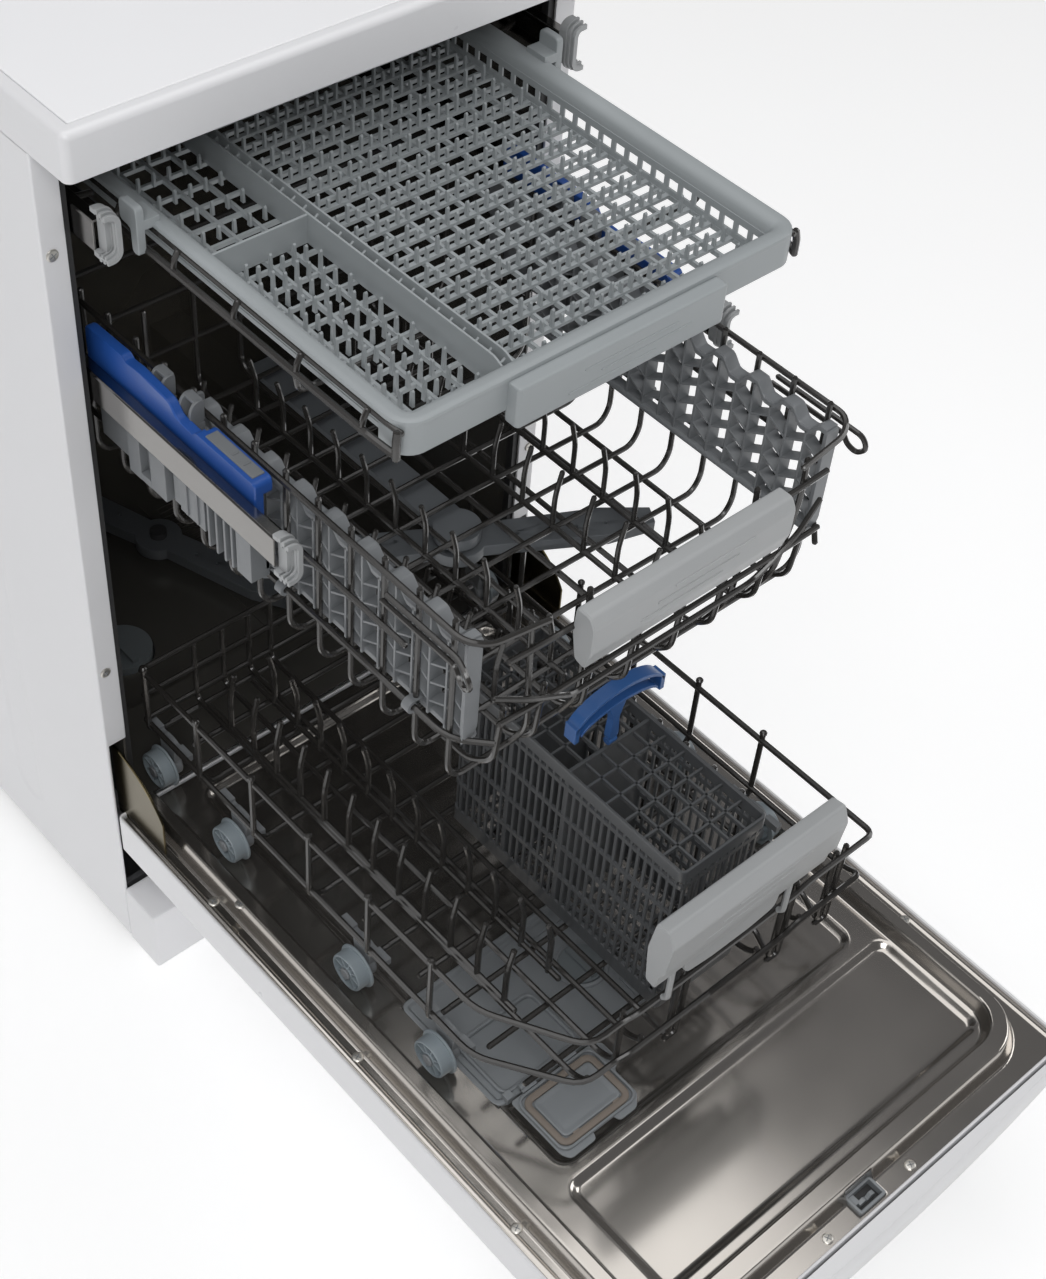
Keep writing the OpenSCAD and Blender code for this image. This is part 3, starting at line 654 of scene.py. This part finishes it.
def make_tray():
    x0, x1, y0, y1, top = -165.0, 165.0, -282.0, 168.0, 760.0
    shape = Shape()
    lip = [(0.4, top - 4.4), (0, top - 2.8), (0.5, top - 1.1), (1.8, top - 0.2), (4, top), (8.5, top - 0.5),
        (11.8, top - 2.2), (13.6, top - 4.8), (14.4, top - 9), (14.6, top - 12), (13.0, top - 12),
        (12.8, top - 9.5), (12, top - 6.3), (10.2, top - 4.4), (7, top - 3.4), (3, top - 3.2),
        (1.6, top - 4.2)]
    shape.loft((x0, x1), (y0, y1), 17, lip, loop=True)
    for yc, flip in ((y0 + 15.2, 1), (y1 - 15.2, -1)):
        left, right, back = (x0 + 15.8, yc), (x1 - 15.8, yc), yc + 9 * flip
        outer, inner = [arc(left, r, 180, 180 + 90 * flip, 8) + arc(right, r, -90 * flip, 0, 8)
            for r in (14.8, 12.8)]
        ends = [(path[i][0], back) for path, i in ((outer, 0), (outer, -1), (inner, -1), (inner, 0))]
        outline = ends[:1] + outer + ends[1:3] + inner[::-1] + ends[3:]
        shape.prism(outline, "xy", top - 25, top - 2.9)
    plate = [(1.6, top - 34), (0.3, top - 33.2), (0, top - 31.5), (0, top - 6), (0.8, top - 4.6),
        (2.6, top - 4.1)]
    shape.loft((-87, 87), (y0 - 10, y0 + 3), 3, plate)
    for k, (a, b) in enumerate(((-34, 44), (-20, 56), (-46, 26))):
        shape.tube([(a, y0 - 9.9, top - 14 - 6.2 * k), (b, y0 - 9.9, top - 14 - 6.2 * k)], 0.8, 8)
    for s in (-1, 1):
        wall = sorted((s * 151.8, s * 150.2))
        shape.block(wall, (y0 + 14, y1 - 14), (top - 31, top - 23))
        shape.block(wall, (y0 + 14, y1 - 14), (top - 15.5, top - 10))
        for y in np.arange(y0 + 16, y1 - 18, 13.0):
            shape.block(wall, (y, y + 4.2), (top - 23.5, top - 15))
        upright = [(-38, top - 21), (-38, top + 14.5), (-19, top + 14.5), (-19, top - 2), (-31, top - 2),
            (-31, top - 21)]
        shape.bar(upright, 4, "yz", *sorted((s * 177, s * 171)), 0.8)
        shape.block(sorted((s * 160, s * 172)), (-38, -19), (top - 3, top + 4))
    for y in (y0 + 13.4, y1 - 15):
        shape.block((-150.5, 150.5), (y, y + 1.6), (top - 31, top - 10))
    piece("tray_rim", shape, "tray", TRAY, ["tray_frame"], bevel=0.35)

    floor = Shape()
    z = top - 31
    ix, iy = (-151, 151), (y0 + 14, y1 - 14)
    for x in np.linspace(ix[0], ix[1], 16):
        floor.block((x - 1.2, x + 1.2), iy, (z, z + 3.6))
    for y in np.linspace(iy[0], iy[1], 22):
        floor.block(ix, (y - 1.2, y + 1.2), (z + 0.3, z + 3.3))

    def fin(x, y, tall):
        foot, crown = 1.6, 1.12
        outline = [(y - foot, z + 3), (y + foot, z + 3), (y + crown, z + tall), (y, z + tall + 1.2),
            (y - crown, z + tall)]
        floor.prism(outline, "yz", x, x + 1.9)

    for row, y in enumerate(np.arange(iy[0] + 10, iy[1] - 6, 20.0)):
        floor.block((-66, ix[1] - 3), (y - 1.8, y + 1.8), (z + 3, z + 5.5))
        for k, x in enumerate(np.arange(-63, ix[1] - 5, 8.4)):
            fin(x, y, (11, 16, 13, 18)[(k + row) % 4])
    for row, y in enumerate(np.arange(iy[0] + 10, -84, 15.0)):
        for k, x in enumerate(np.arange(ix[0] + 5, -82, 9.2)):
            fin(x, y, (19, 14)[(k + row) % 2])
    for y in np.arange(-66, iy[1] - 6, 24.0):
        for x in np.arange(ix[0] + 6, -82, 12.0):
            fin(x, y, 12)
    piece("tray_lattice", floor, "tray", TRAY, ["tray_grid"])

    walls = Shape()
    for x in (-78.0, -69.6):
        wall = [(iy[0] - 1, z + 3), (iy[1] + 1, z + 3), (iy[1] + 1, top - 7), (iy[0] + 10, top - 4),
            (iy[0] - 1, top - 9)]
        walls.bar(wall, 3, "yz", x, x + 1.6)
    for y in np.arange(iy[0] + 8, iy[1] - 4, 12.0):
        wall = [(-77, z + 8), (-69, z + 8), (-69, top - 8), (-73, top - 11), (-77, top - 8)]
        walls.prism(rounded(wall, 1.5, 3, True), "xz", y, y + 1.8)
    walls.block((ix[0] - 0.5, -77.5), (-79.4, -77.4), (z + 3.5, top - 6))
    piece("tray_divider_walls", walls, "tray", TRAY, ["tray_dividers"], bevel=0.4)

    wires = Shape()
    wires.wire([(-163.6, y1 - 6, 753.4), (-163.6, y0 + 14, 753.4), (-162.6, y0 + 5, 752.6)], 2.1)
    wires.wire([(-170, y1 - 6, 741.5), (-170, y0 + 20, 741.5), (-166, y0 + 6, 737.5)], 2.6, 10)
    wires.wire([(-165, y0 + 6, 754), (-166.4, y0 + 5, 747), (-166.4, y0 + 5, 735.6)], 2.6, 3)
    for y in np.arange(y0 + 32, y1, 62):
        wires.wire([(-165.6, y, 754), (-169, y, 748), (-170, y, 739)], 2.0, 4)
    wires.wire([(-170, 24, 750), (-192, 28, 750), (-192, y1 - 8, 750), (-170, y1 - 4, 750)], 2.3)
    wires.mirrored()
    for y in (y0 + 94, y1 - 60):
        wires.wire([(-170, y, 741), (-168, y, 727), (168, y, 727), (170, y, 741)], 2.0, 8)
    piece("tray_runner_wires", wires, "tray", WIRE, ["tray_wires"])


# ---- upper basket

WIRE_R = 2.2


def make_upper_wires():
    side, front, rear = 168.5, -345.0, 83.0
    high, mid, low, floor = 644.0, 596.0, 548.0, 500.0
    posts = np.arange(front + 12, rear, 33.0)
    shape = Shape()
    for s in (-1, 1):
        x = s * side
        shape.wire([(x, rear, high), (x, front, high - 1), (s * 156, front - 10, high - 4),
            (s * 112, front - 14, high - 7)], WIRE_R, 12)
        shape.wire([(x, rear, mid), (x, front + 52, mid)], WIRE_R)
        shape.wire([(x, rear, low), (x, front + 8, low), (s * 148, front - 12, low - 1)], WIRE_R, 16)
        bar = x + s * 4.4
        shape.wire([(bar, front + 66, 632), (bar, front - 2, 632), (bar + s * 3, front - 12, 629),
            (bar + s * 3, front - 17, 621), (bar + s * 2, front - 10, 614), (bar, front - 2, 618),
            (bar, front + 2, 624), (bar, front + 70, 624)], 2.0, 5)
        for y in posts:
            shape.wire([(x - s * 4.2, y, high + 4.5), (x - s * 4.2, y, 512), (x - s * 12, y, floor),
                (0, y, floor + 2)], WIRE_R, 9)
        for x_front, lean in ((122, 8), (74, 4)):
            foot = x_front - lean
            shape.wire([(s * x_front, front - 9, high - 8), (s * x_front, front - 10, 600),
                (s * foot, front - 6, 533), (s * (foot - 2), front + 10, floor + 3)], WIRE_R, 14)
    for x in (-140, -105, -62, -22, 22, 62, 105, 140):
        shape.wire([(x, rear, 590), (x, rear, floor + 6), (x, rear - 14, floor - 2.2),
            (x, front + 18, floor - 2.2), (x * 0.985, front - 2, floor + 14),
            (x * 0.985, front - 7, 568)], WIRE_R, 10)
    for x, z in ((142, 618), (146, 564)):
        shape.wire([(-x, front - 12.5, z), (-x + 30, front - 12.5, z - 2), (x - 30, front - 12.5, z - 2),
            (x, front - 12.5, z)], WIRE_R, 10)
    shape.wire([(-148, front - 8, 585), (-122, front - 14, 572), (-100, front - 14, 560),
        (-84, front - 12, 548), (84, front - 12, 548), (100, front - 14, 560), (122, front - 14, 572),
        (148, front - 8, 585)], WIRE_R, 8)
    for z in (high, mid, low):
        shape.wire([(-side, rear, z), (side, rear, z)], WIRE_R)
    for x, lean in ((-96, 5), (-46, -5), (46, 5), (96, -5)):
        for y in np.arange(front + 45, rear - 30, 33.0):
            shape.wire([(x, y, floor + 2), (x, y, floor + 34), (x + lean, y, floor + 54)], 2.0, 8)
        shape.tube([(x, front + 30, floor + 5), (x, rear - 30, floor + 5)], WIRE_R)
    piece("upper_basket_frame", shape, "upper_basket", WIRE, ["upper_basket_wires"])

    clips = Shape()
    for y in (-300, -168):
        hook = []
        for outer, inner in zip(*(arc((-168.5, low), r, 20, 300, 12) for r in (5.4, 2.7))):
            corners = ((outer, -3.5), (inner, -3.5), (inner, 3.5), (outer, 3.5))
            hook.append([(px, y + dy, pz) for (px, pz), dy in corners])
        clips.rings(hook)
        clips.block((-167, -161), (y - 3.5, y + 3.5), (low + 1, low + 5))
    piece("rack_clips", clips.mirrored(), "upper_basket", LATTICE, bevel=0.3)


RIB_LENGTH = 72
RIB_SHIFT = 14


def handle_bar(profile, half, rib, step):
    """A moulded bar across the machine with three fine ribs on its face: rib is the left end of the
    first one, and step the (y, z) way to the next."""
    shape = Shape().prism(rounded(profile, 2.5, 5, True), "yz", -half, half, 1.2)
    for k in range(3):
        x, y, z = rib[0] - RIB_SHIFT * k, rib[1] + step[0] * k, rib[2] + step[1] * k
        shape.tube([(x, y, z), (x + RIB_LENGTH, y, z)], 0.8)
    return shape


def make_handles():
    profile = [(-362, 590), (-371, 588), (-373, 596), (-376, 604), (-376, 626), (-371, 634), (-359, 634),
        (-357, 612)]
    up = handle_bar(profile, 90, (-20, -376.0, 623), (0, -7))
    for x in (-70, 70):
        up.wire([(x, -353, 604), (x, -363, 604)], 3)
    piece("upper_handle", up, "upper_basket", HANDLE, ["upper_basket_handle"])
    profile = [(-461, 350), (-470, 348), (-472, 362), (-477, 372), (-480, 404), (-474, 418), (-462, 416),
        (-457, 384)]
    low = handle_bar(profile, 87, (-22, -479.2, 400), (0.9, -9))
    low.bar([(-52, 352), (-46, 322), (-20, 318), (20, 318), (46, 322), (52, 352)], 5, "xz", -464, -459, 0.6)
    for x in (-60, 60):
        low.wire([(x, -459, 300), (x, -463, 304), (x, -463, 354)], 2.4)
    piece("lower_handle", low, "lower_basket", HANDLE, ["lower_basket_handle"])


def make_cup_rack(name, node, body, side):
    """A folding shelf: deep ribs, zigzag cross ribs and a scalloped top edge."""
    y0, y1, z0, z1 = -343.0, -61.0, 541.0, 638.0
    outer, inner = -163.5, -152.0
    count = 17
    pitch = (y1 - y0) / count

    def crest(y):
        return z1 - 4.5 + 4.5 * min(max(1.5 * math.cos((y - y0 - 2) * 2 * math.pi / 33.2), -1), 1)

    shape = Shape()
    for i in range(count + 1):
        y = y0 + i * pitch
        shape.block((outer, inner), (y - 0.9, y + 0.9), (z0 + 4, crest(y) - 3))
    for i in range(count):
        ya, yb = y0 + i * pitch, y0 + (i + 1) * pitch
        swing = 4.5 if i % 2 else -4.5
        for z in (z0 + 20, z0 + 37, z0 + 54, z0 + 71):
            quad = [(ya, z + swing - 1), (yb, z - swing - 1), (yb, z - swing + 1), (ya, z + swing + 1)]
            shape.prism(quad, "yz", outer + 0.6, inner - 0.6)
    sections = []
    for y in np.arange(y0, y1 + 0.1, 2.0):
        z = crest(y)
        sections.append([(outer, y, z - 4.6), (inner, y, z - 4.6), (inner, y, z - 1), (inner - 1, y, z),
            (outer + 1, y, z), (outer, y, z - 1)])
    shape.rings(sections)
    end = rounded([(outer - 0.4, z1 - 2), (outer - 0.4, z0 + 11), (outer + 4, z0 + 4), (inner - 3, z0 + 7),
        (inner + 0.4, z0 + 14), (inner + 0.4, z1 - 2)], 3, 4, True)
    for low, high in ((y0 - 1.6, y0 + 1.4), (y1 - 1.4, y1 + 1.6)):
        shape.prism(end, "xz", low, high, 0.5)
    shape.block((outer + 2, inner - 1), (y0, y1), (z0 + 4, z0 + 8.5))
    shape.tube([(-153.5, y0, 547.5), (-153.5, y1, 547.5)], 2.9, 14)
    if side > 0:
        shape.flipped()
    piece(name, shape, body, LATTICE, [node], bevel=0.25)


def make_adjusters():
    shape = Shape()
    shape.block((-175, -171.5), (-158, 20), (560, 604))
    ribs = [(-62, -44, 556, -187), (-32, -18, 555, -187), (-44, -32, 592, -187), (-44, -32, 556, -181)]
    ribs += [(-74, -66, 559, -183), (-104, -76, 559, -185), (-158, -142, 554, -187), (-14, 20, 560, -183)]
    for a, b, low, deep in ribs:
        shape.block((deep, -172), (a, b), (low, 604))
    shape.block((-187, -172), (-44, -32), (555.5, 562))
    for y in (-112, -121, -130, -138):
        shape.block((-187, -172), (y, y + 2.2), (552.5, 604))
    for y in (-98, -86):
        shape.block((-186.4, -184), (y, y + 2), (561, 602))
    shape.block((-179, -169.2), (-150, 20), (600, 633.5))
    ear = [(-182, 640), (-171, 640), (-171, 658), (-178, 658), (-182, 652)]
    for y in (-52, -84):
        shape.block((-181, -171), (y - 7, y + 7), (633, 640))
        for cheek in (y - 7, y + 4.5):
            shape.bar(ear, 3, "xz", cheek, cheek + 2.5)
        shape.block((-178, -171), (y - 6, y + 6), (655.4, 658))
    shape.lathe([(0, 0.1), (0, 2.6), (0.8, 2.9), (7.5, 2.9), (7.5, 0.1)], (-188.3, -75, 622), "x", 24)
    piece("height_adjuster_bodies", shape.mirrored(), "upper_basket", LATTICE,
        ["height_adjusters"], bevel=0.4)
    outline = [(20, 617), (20, 657), (-24, 659), (-27, 655.5), (-40, 657), (-76, 655), (-84, 646),
        (-103, 644.5), (-105, 648.4), (-168, 648.4), (-168, 607), (-120, 606), (-96, 607), (-80, 616)]
    grip = [(-168, 635.6), (-105.4, 635.6), (-105.4, 648.4), (-168, 648.4)]
    for name, node, body, side in (
            ("left_blue_lever", "height_lever_left", "left_lever", -1),
            ("right_blue_lever", "height_lever_right", "right_lever", 1)):
        lever = Shape().bar(outline, 4, "yz", -188.4, -181.2, 0.9)
        lever.bar(grip, 4, "yz", -183, -174.2, 0.9)
        insert = Shape().block((-185.5, -176), (-162, -112), (647.6, 649.4))
        for y in (-150, -138):
            insert.block((-183, -178), (y, y + 1.4), (649, 650.2))
        if side > 0:
            lever.flipped()
            insert.flipped()
        piece(name, lever, body, BLUE, [node])
        piece(name + "_insert", insert, body, LATTICE, bevel=0.4)


def rail_section(shape, y, z):
    """A C-shaped sheet rail with folded lips, open towards the middle of the machine."""
    a, b = z
    outline = [(-190, b), (-197.4, b), (-198.5, b - 1.1), (-198.5, a + 1.1), (-197.4, a), (-190, a),
        (-190, a + 1.5), (-196.9, a + 1.6), (-196.9, b - 1.6), (-190, b - 1.5)]
    shape.rings([[(px, py, pz) for px, pz in outline] for py in y])


def rail_cap(shape, y0, y1, z0, z1):
    """A moulded C-shaped end cap, hollow on the outer side, with ribs stacked along its front."""
    starts = [y0, y0 + 2.2, y0 + 4, y0 + 6.2, y0 + 8, y0 + 10.4]
    for a, b, pull in zip(starts, starts[1:] + [y1], (1.4, 3.4, 0.6, 2.6, 0, 1.2)):
        low, high, x = z0 + pull, z1 - pull, -187 - 0.3 * pull
        outer = arc((x - 8, low + 8), 8, 270, 360, 7) + arc((x - 8, high - 8), 8, 0, 90, 7)
        inner = arc((x - 8, high - 8), 4.4, 90, 0, 7) + arc((x - 8, low + 8), 4.4, 360, 270, 7)
        flat = [(-199, z) for z in (low, high, high - 3.6, low + 3.6)]
        shape.prism(flat[:1] + outer + flat[1:3] + inner + flat[3:], "xz", a, b, 0.3)
    shape.block((-195, -191), (y0 + 7, y1), (z0 + 5, z1 - 5))


SLIDES = (
    ("upper_rails", "upper_slides", "upper_rail_caps", "slide_end_caps", "slides",
     (-200, 225), (608.4, 633.6), (602.5, 639.5)),
    ("tray_slide_rails", "tray_rails", "tray_slide_caps", "tray_rail_caps", "tray_slides",
     (-22, 165), (742.3, 765.7), (740, 778.5)),
)


def make_slides():
    for name, node, cap_name, cap_node, body, y, z, cap_z in SLIDES:
        shape = Shape()
        rail_section(shape, y, z)
        shape.block((-196.9, -195.6), (y[0] + 6, y[1]), ((z[0] + z[1]) / 2 - 3, (z[0] + z[1]) / 2 + 3))
        piece(name, shape.mirrored(), body, SHADED_RAIL_STEEL, [node], bevel=0.3)
        cap = Shape()
        rail_cap(cap, y[0] - 16, y[0] - 0.1, *cap_z)
        piece(cap_name, cap.mirrored(), body, HANDLE, [cap_node], bevel=0.2)


# ---- lower basket


def make_lower_wires():
    front, rear, side, floor, r = -455.0, 27.0, 170.0, 227.5, 2.5
    high, low = 300.0, 240.5
    tip = [(-1.6, 0.1), (-1.2, 2.4), (0, 3.2), (1.6, 3.1), (2.8, 2.0), (3.2, 0.1)]
    shape = Shape()
    for s, turn_y, corner in ((-1, -384, 128), (1, -440, 170)):
        x = s * side
        for z, end in ((high, 300), (low, 248)):
            shape.wire([(x, rear, z), (x, turn_y, z), (s * corner, front - 1, end),
                (s * 96, front - 1, end), (s * 84, front - 1, end - 4), (s * 40, front - 1, end - 5),
                (0, front - 1, end - 5)], r, 14)
        for y in (21, -50, -122, -193, -264, -336):
            shape.wire([(x + s * 1.2, y, high + 7), (x + s * 1.2, y, low - 5), (x - s * 9, y, floor - 0.5),
                (s * 120, y, floor - 0.5)], r, 6)
            shape.lathe(tip, (x + s * 1.2, y, high + 7), "z", 14)
    for y in (22, -10, -50, -92, -122, -164, -193, -234, -264, -300, -336, -380, -420):
        shape.tube([(-150, y, floor), (150, y, floor)], r)
    for run, x in ((-44, -35), (77, 77), (132, 132)):
        shape.wire([(run, rear, 298), (run, rear, floor + 5), (run, rear - 16, floor + 4.5),
            (run, front + 24, floor + 4.5), (x, front + 3, floor - 14), (x, front + 3, 303)], r, 9)
        shape.wire([(x + 11, front + 3, 303), (x + 9, front + 3, floor - 14),
            (x - 2, front + 4, floor - 16)], r, 5)
    for x, top in ((-120, low + 5), (-92, 303), (-66, low + 5), (56, low + 5), (104, low + 5)):
        shape.wire([(x, rear, 298), (x, rear, floor + 5), (x, rear - 16, floor + 4.5),
            (x, front + 16, floor + 4.5), (x, front + 3, low), (x, front + 3, top)], r, 7)
    for z in (high, 270.0, low):
        shape.wire([(-side, rear, z), (side, rear, z)], r)
    for x, lean in ((-118, 5), (-74, -5), (84, 5), (130, -5)):
        for y in np.arange(-360, 10, 31.0):
            shape.wire([(x, y, floor + 4), (x, y, floor + 44), (x + lean, y, floor + 66)], r, 8)
        shape.tube([(x, -372, floor + 7), (x, 12, floor + 7)], r)
    piece("lower_basket_frame", shape, "lower_basket", WIRE, ["lower_basket_wires"])


WHEEL_NODES = ["lower_wheels_%d" % i for i in (1, 2, 3, 4)]
WHEEL_X = -176


def wheel_centre(node):
    low, high = drawn(node)
    return (low[1] + high[1]) / 2, (low[2] + high[2]) / 2


def make_wheels():
    for i, node in enumerate(WHEEL_NODES, 1):
        y, z = wheel_centre(node)
        shape = Shape()
        tread = [(-6, 14.6), (-6, 15.8), (-5, 16.4), (4.2, 16.6), (4.4, 18.6), (5.0, 19.0), (6.2, 19.0),
            (6.5, 18.4), (6.5, 14.6), (2, 14.2)]
        shape.lathe(tread, (WHEEL_X, y, z), "x", 56)
        hub = [(-5.6, 4.1), (-5.6, 5.4), (-4.8, 6.0), (5.6, 6.0), (6.2, 5.4), (6.2, 4.1)]
        shape.lathe(hub, (WHEEL_X, y, z), "x", 32)
        for k in range(8):
            a = math.radians(45 * k + 10)
            c, s = math.cos(a), math.sin(a)
            spoke = [(u * c - v * s + y, u * s + v * c + z) for u,
                v in ((5.4, -0.8), (15, -0.6), (15, 0.6), (5.4, 0.8))]
            shape.prism(spoke, "yz", -180.8, -171.9)
        piece("roller_pair_%d" % i, shape.mirrored(), "wheels_%d" % i, WHEEL, [node], bevel=0.2)


def make_axles():
    shape = Shape()
    for node in WHEEL_NODES:
        y, z = wheel_centre(node)
        shape.lathe([(-183.6, 0.5), (-183.6, 4.6), (-182.4, 5.4), (-182.2, 3.9), (-161, 3.9), (-161, 0.5)],
            (0, y, z), "x", 28)
        shape.lathe([(-168.6, 4), (-168.6, 10.5), (-166.6, 11.4), (-161, 11.4), (-159.6, 10), (-159.6, 4)],
            (0, y, z), "x", 32)
        arm = [(y - 8, z), (y - 11, 232), (y - 6, 236), (y + 6, 236), (y + 11, 232), (y + 8, z)]
        shape.bar(arm, 3, "yz", -167, -161, 0.5)
        for dy in (-20, 20):
            shape.block((-166, -160), (y + dy - 7, y + dy + 7), (229, 236))
        shape.block((-165, -161), (y - 22, y + 22), (230, 234))
    piece("roller_clips", shape.mirrored(), "lower_basket", LATTICE, ["wheel_axles"],
        bevel=0.3)


def make_cutlery_basket():
    span, depth, height = zip(*drawn("cutlery_basket"))
    (x0, x1), (y0, y1), (z0, z1) = span, depth, height
    shape = Shape()
    shape.loft(span, depth, 6, [(0.8, z1 - 12), (0, z1 - 11), (0, z1 - 1), (0.6, z1), (2.2, z1),
        (3, z1 - 1), (3, z1 - 12)], loop=True)
    shape.loft(span, depth, 6, [(3, z0), (1.4, z0 + 1), (1.2, z0 + 12), (3, z0 + 12)], loop=True)
    for z in np.arange(z0 + 12, z1 - 12, 34.0):
        shape.loft(span, depth, 6, [(1.2, z), (1.0, z + 4.4), (3, z + 4.4), (3, z)], loop=True)
    for x in (x0 + 1.1, x1 - 2.9):
        for y in np.arange(y0 + 5, y1 - 4, 7.4):
            shape.block((x, x + 1.8), (y, y + 2.4), (z0 + 4, z1 - 11))
    for y in (y0 + 1.1, y1 - 2.9):
        for x in np.arange(x0 + 5, x1 - 4, 7.2):
            shape.block((x, x + 2.4), (y, y + 1.8), (z0 + 4, z1 - 11))
    for y in np.arange(y0 + 3, y1 - 2, 9.6):
        shape.block((x0 + 2, x1 - 2), (y, y + 1.6), (z0, z0 + 3))
    for x in np.arange(x0 + 4, x1 - 3, 9.4):
        shape.block((x, x + 1.6), (y0 + 2, y1 - 2), (z0 + 0.4, z0 + 2.6))
    for y in (-318.5, -259.5):
        shape.block((x0 + 1.5, x1 - 1.5), (y - 1.2, y + 1.2), (z0 + 2, z1 - 3))
    for y in np.arange(y0 + 24, y1 - 10, 19.4):
        shape.block((x0 + 2, x1 - 2), (y - 0.9, y + 0.9), (z1 - 8, z1 - 4.5))
    for x in np.arange(x0 + 19, x1 - 8, 16.0):
        shape.block((x - 0.9, x + 0.9), (y0 + 2, y1 - 2), (z1 - 8, z1 - 4.5))
    piece("cutlery_holder", shape, "lower_basket", DARK, ["cutlery_basket"])

    grip = Shape()
    mid_x, y, half_depth = 7.0, -318.5, 5.6
    for reach, base, rise, half in ((44, 440, 22, 1.7), (38, 436, 13, 1.3)):
        rings = []
        for a in np.radians(np.linspace(-80, 80, 17)):
            x, z = mid_x + reach * math.sin(a), base + rise * math.cos(a)
            sides = ((-half_depth, -half), (half_depth, -half), (half_depth, half), (-half_depth, half))
            rings.append([(x, y + dy, z + dz) for dy, dz in sides])
        grip.rings(rings)
    for a in (-76, 76):
        x = mid_x + 43 * math.sin(math.radians(a))
        grip.block((x - 2.2, x + 2.2), (y - half_depth, y + half_depth), (434, 449))
    grip.bar([(2.0, 407), (3.4, 430), (-2, 447), (16, 447), (10.6, 430), (12.0, 407)], 4, "xz", y - 3,
        y + 3, 0.6)
    grip.lathe([(3, 0.5), (3, 3.4), (11, 3.4), (11, 0.5)], (0, y, 404.2), "x", 24)
    piece("cutlery_carrier", grip, "basket_carrier", PALE_BLUE, ["cutlery_basket_handle"],
        bevel=0.7)


# ---- stage, light and camera


def make_stage():
    material, tree, shader, vector = node_kit("studio_floor")
    cloud = noise(tree, vector, 2.0)
    tree.links.new(toned(tree, cloud, (0.61, 0.61, 0.61), (0.63, 0.63, 0.63)), shader.inputs["Base Color"])
    shader.inputs["Roughness"].default_value = 0.9
    shader.inputs["Emission Color"].default_value = (1, 1, 1, 1)
    shader.inputs["Emission Strength"].default_value = 0.53
    mesh = bpy.data.meshes.new("floor")
    reach = 12.0
    mesh.from_pydata([(-reach, -reach, 0), (reach, -reach, 0), (reach, reach, 0), (-reach, reach, 0)], [],
        [(0, 1, 2, 3)])
    floor = new_object("floor", mesh)
    mesh.materials.append(material)


def area_light(name, place, target, size, power):
    light = bpy.data.lights.new(name, "AREA")
    light.shape = "RECTANGLE"
    light.size, light.size_y = size
    light.energy = power
    obj = new_object(name, light)
    obj.location = place
    obj.rotation_euler = (Vector(target) - Vector(place)).to_track_quat("-Z", "Y").to_euler()


def make_lights():
    area_light("key", (-1.6, -1.9, 2.9), (0, -0.1, 0.4), (1.8, 1.4), 38)
    area_light("top", (-0.15, 0.1, 3.2), (-0.15, 0.1, 0.4), (3.3, 2.8), 43)
    area_light("right", (2.4, -1.2, 1.8), (0, -0.2, 0.4), (1.2, 1.6), 16)
    area_light("left", (-2.6, 0.6, 1.6), (0, 0, 0.4), (1.4, 1.8), 6)
    world = bpy.data.worlds.new("studio")
    world.use_nodes = True
    back = world.node_tree.nodes["Background"]
    back.inputs["Color"].default_value = (0.95, 0.96, 1.0, 1)
    back.inputs["Strength"].default_value = 0.13
    bpy.context.scene.world = world


def make_camera():
    """The view: place in drawing millimetres, heading and tilt in degrees, focal length in image widths."""
    place = (-718.2, -933.8, 1494.3)
    heading, tilt, roll = (math.radians(a) for a in (46.754, 46.611, 6.372))
    focal_widths = 1.9126
    forward = Vector((math.sin(heading) * math.cos(tilt), math.cos(heading) * math.cos(tilt),
        -math.sin(tilt)))
    right = forward.cross(Vector((0, 0, 1))).normalized()
    up = right.cross(forward)
    turned_right = math.cos(roll) * right + math.sin(roll) * up
    turned_up = -math.sin(roll) * right + math.cos(roll) * up
    data = bpy.data.cameras.new("camera")
    data.sensor_fit = "HORIZONTAL"
    data.sensor_width = 36.0
    data.lens = focal_widths * data.sensor_width
    data.shift_x = -0.02807
    data.shift_y = 0.01047
    data.clip_start = 0.01
    camera = new_object("camera", data)
    axes = Matrix((turned_right, turned_up, -forward)).transposed().to_4x4()
    camera.matrix_world = Matrix.Translation(placed([place])[0]) @ axes
    bpy.context.scene.camera = camera


make_camera()
make_stage()
make_lights()
make_worktop()
make_side_panel("left_side_sheet", "side_panel_left", -1)
make_side_panel("right_side_sheet", "side_panel_right", 1)
make_plinth()
make_screws()
make_door_pan()
make_inner_panel()
make_dispenser()
make_latch()
make_tray()
make_upper_wires()
make_handles()
make_cup_rack("left_cup_shelf", "cup_rack_left", "left_cup_rack", -1)
make_cup_rack("right_cup_shelf", "cup_rack_right", "right_cup_rack", 1)
make_adjusters()
make_slides()
make_lower_wires()
make_wheels()
make_axles()
make_cutlery_basket()

view = bpy.context.scene.view_settings
view.view_transform = "Standard"
view.look = "None"
view.exposure = 0.0
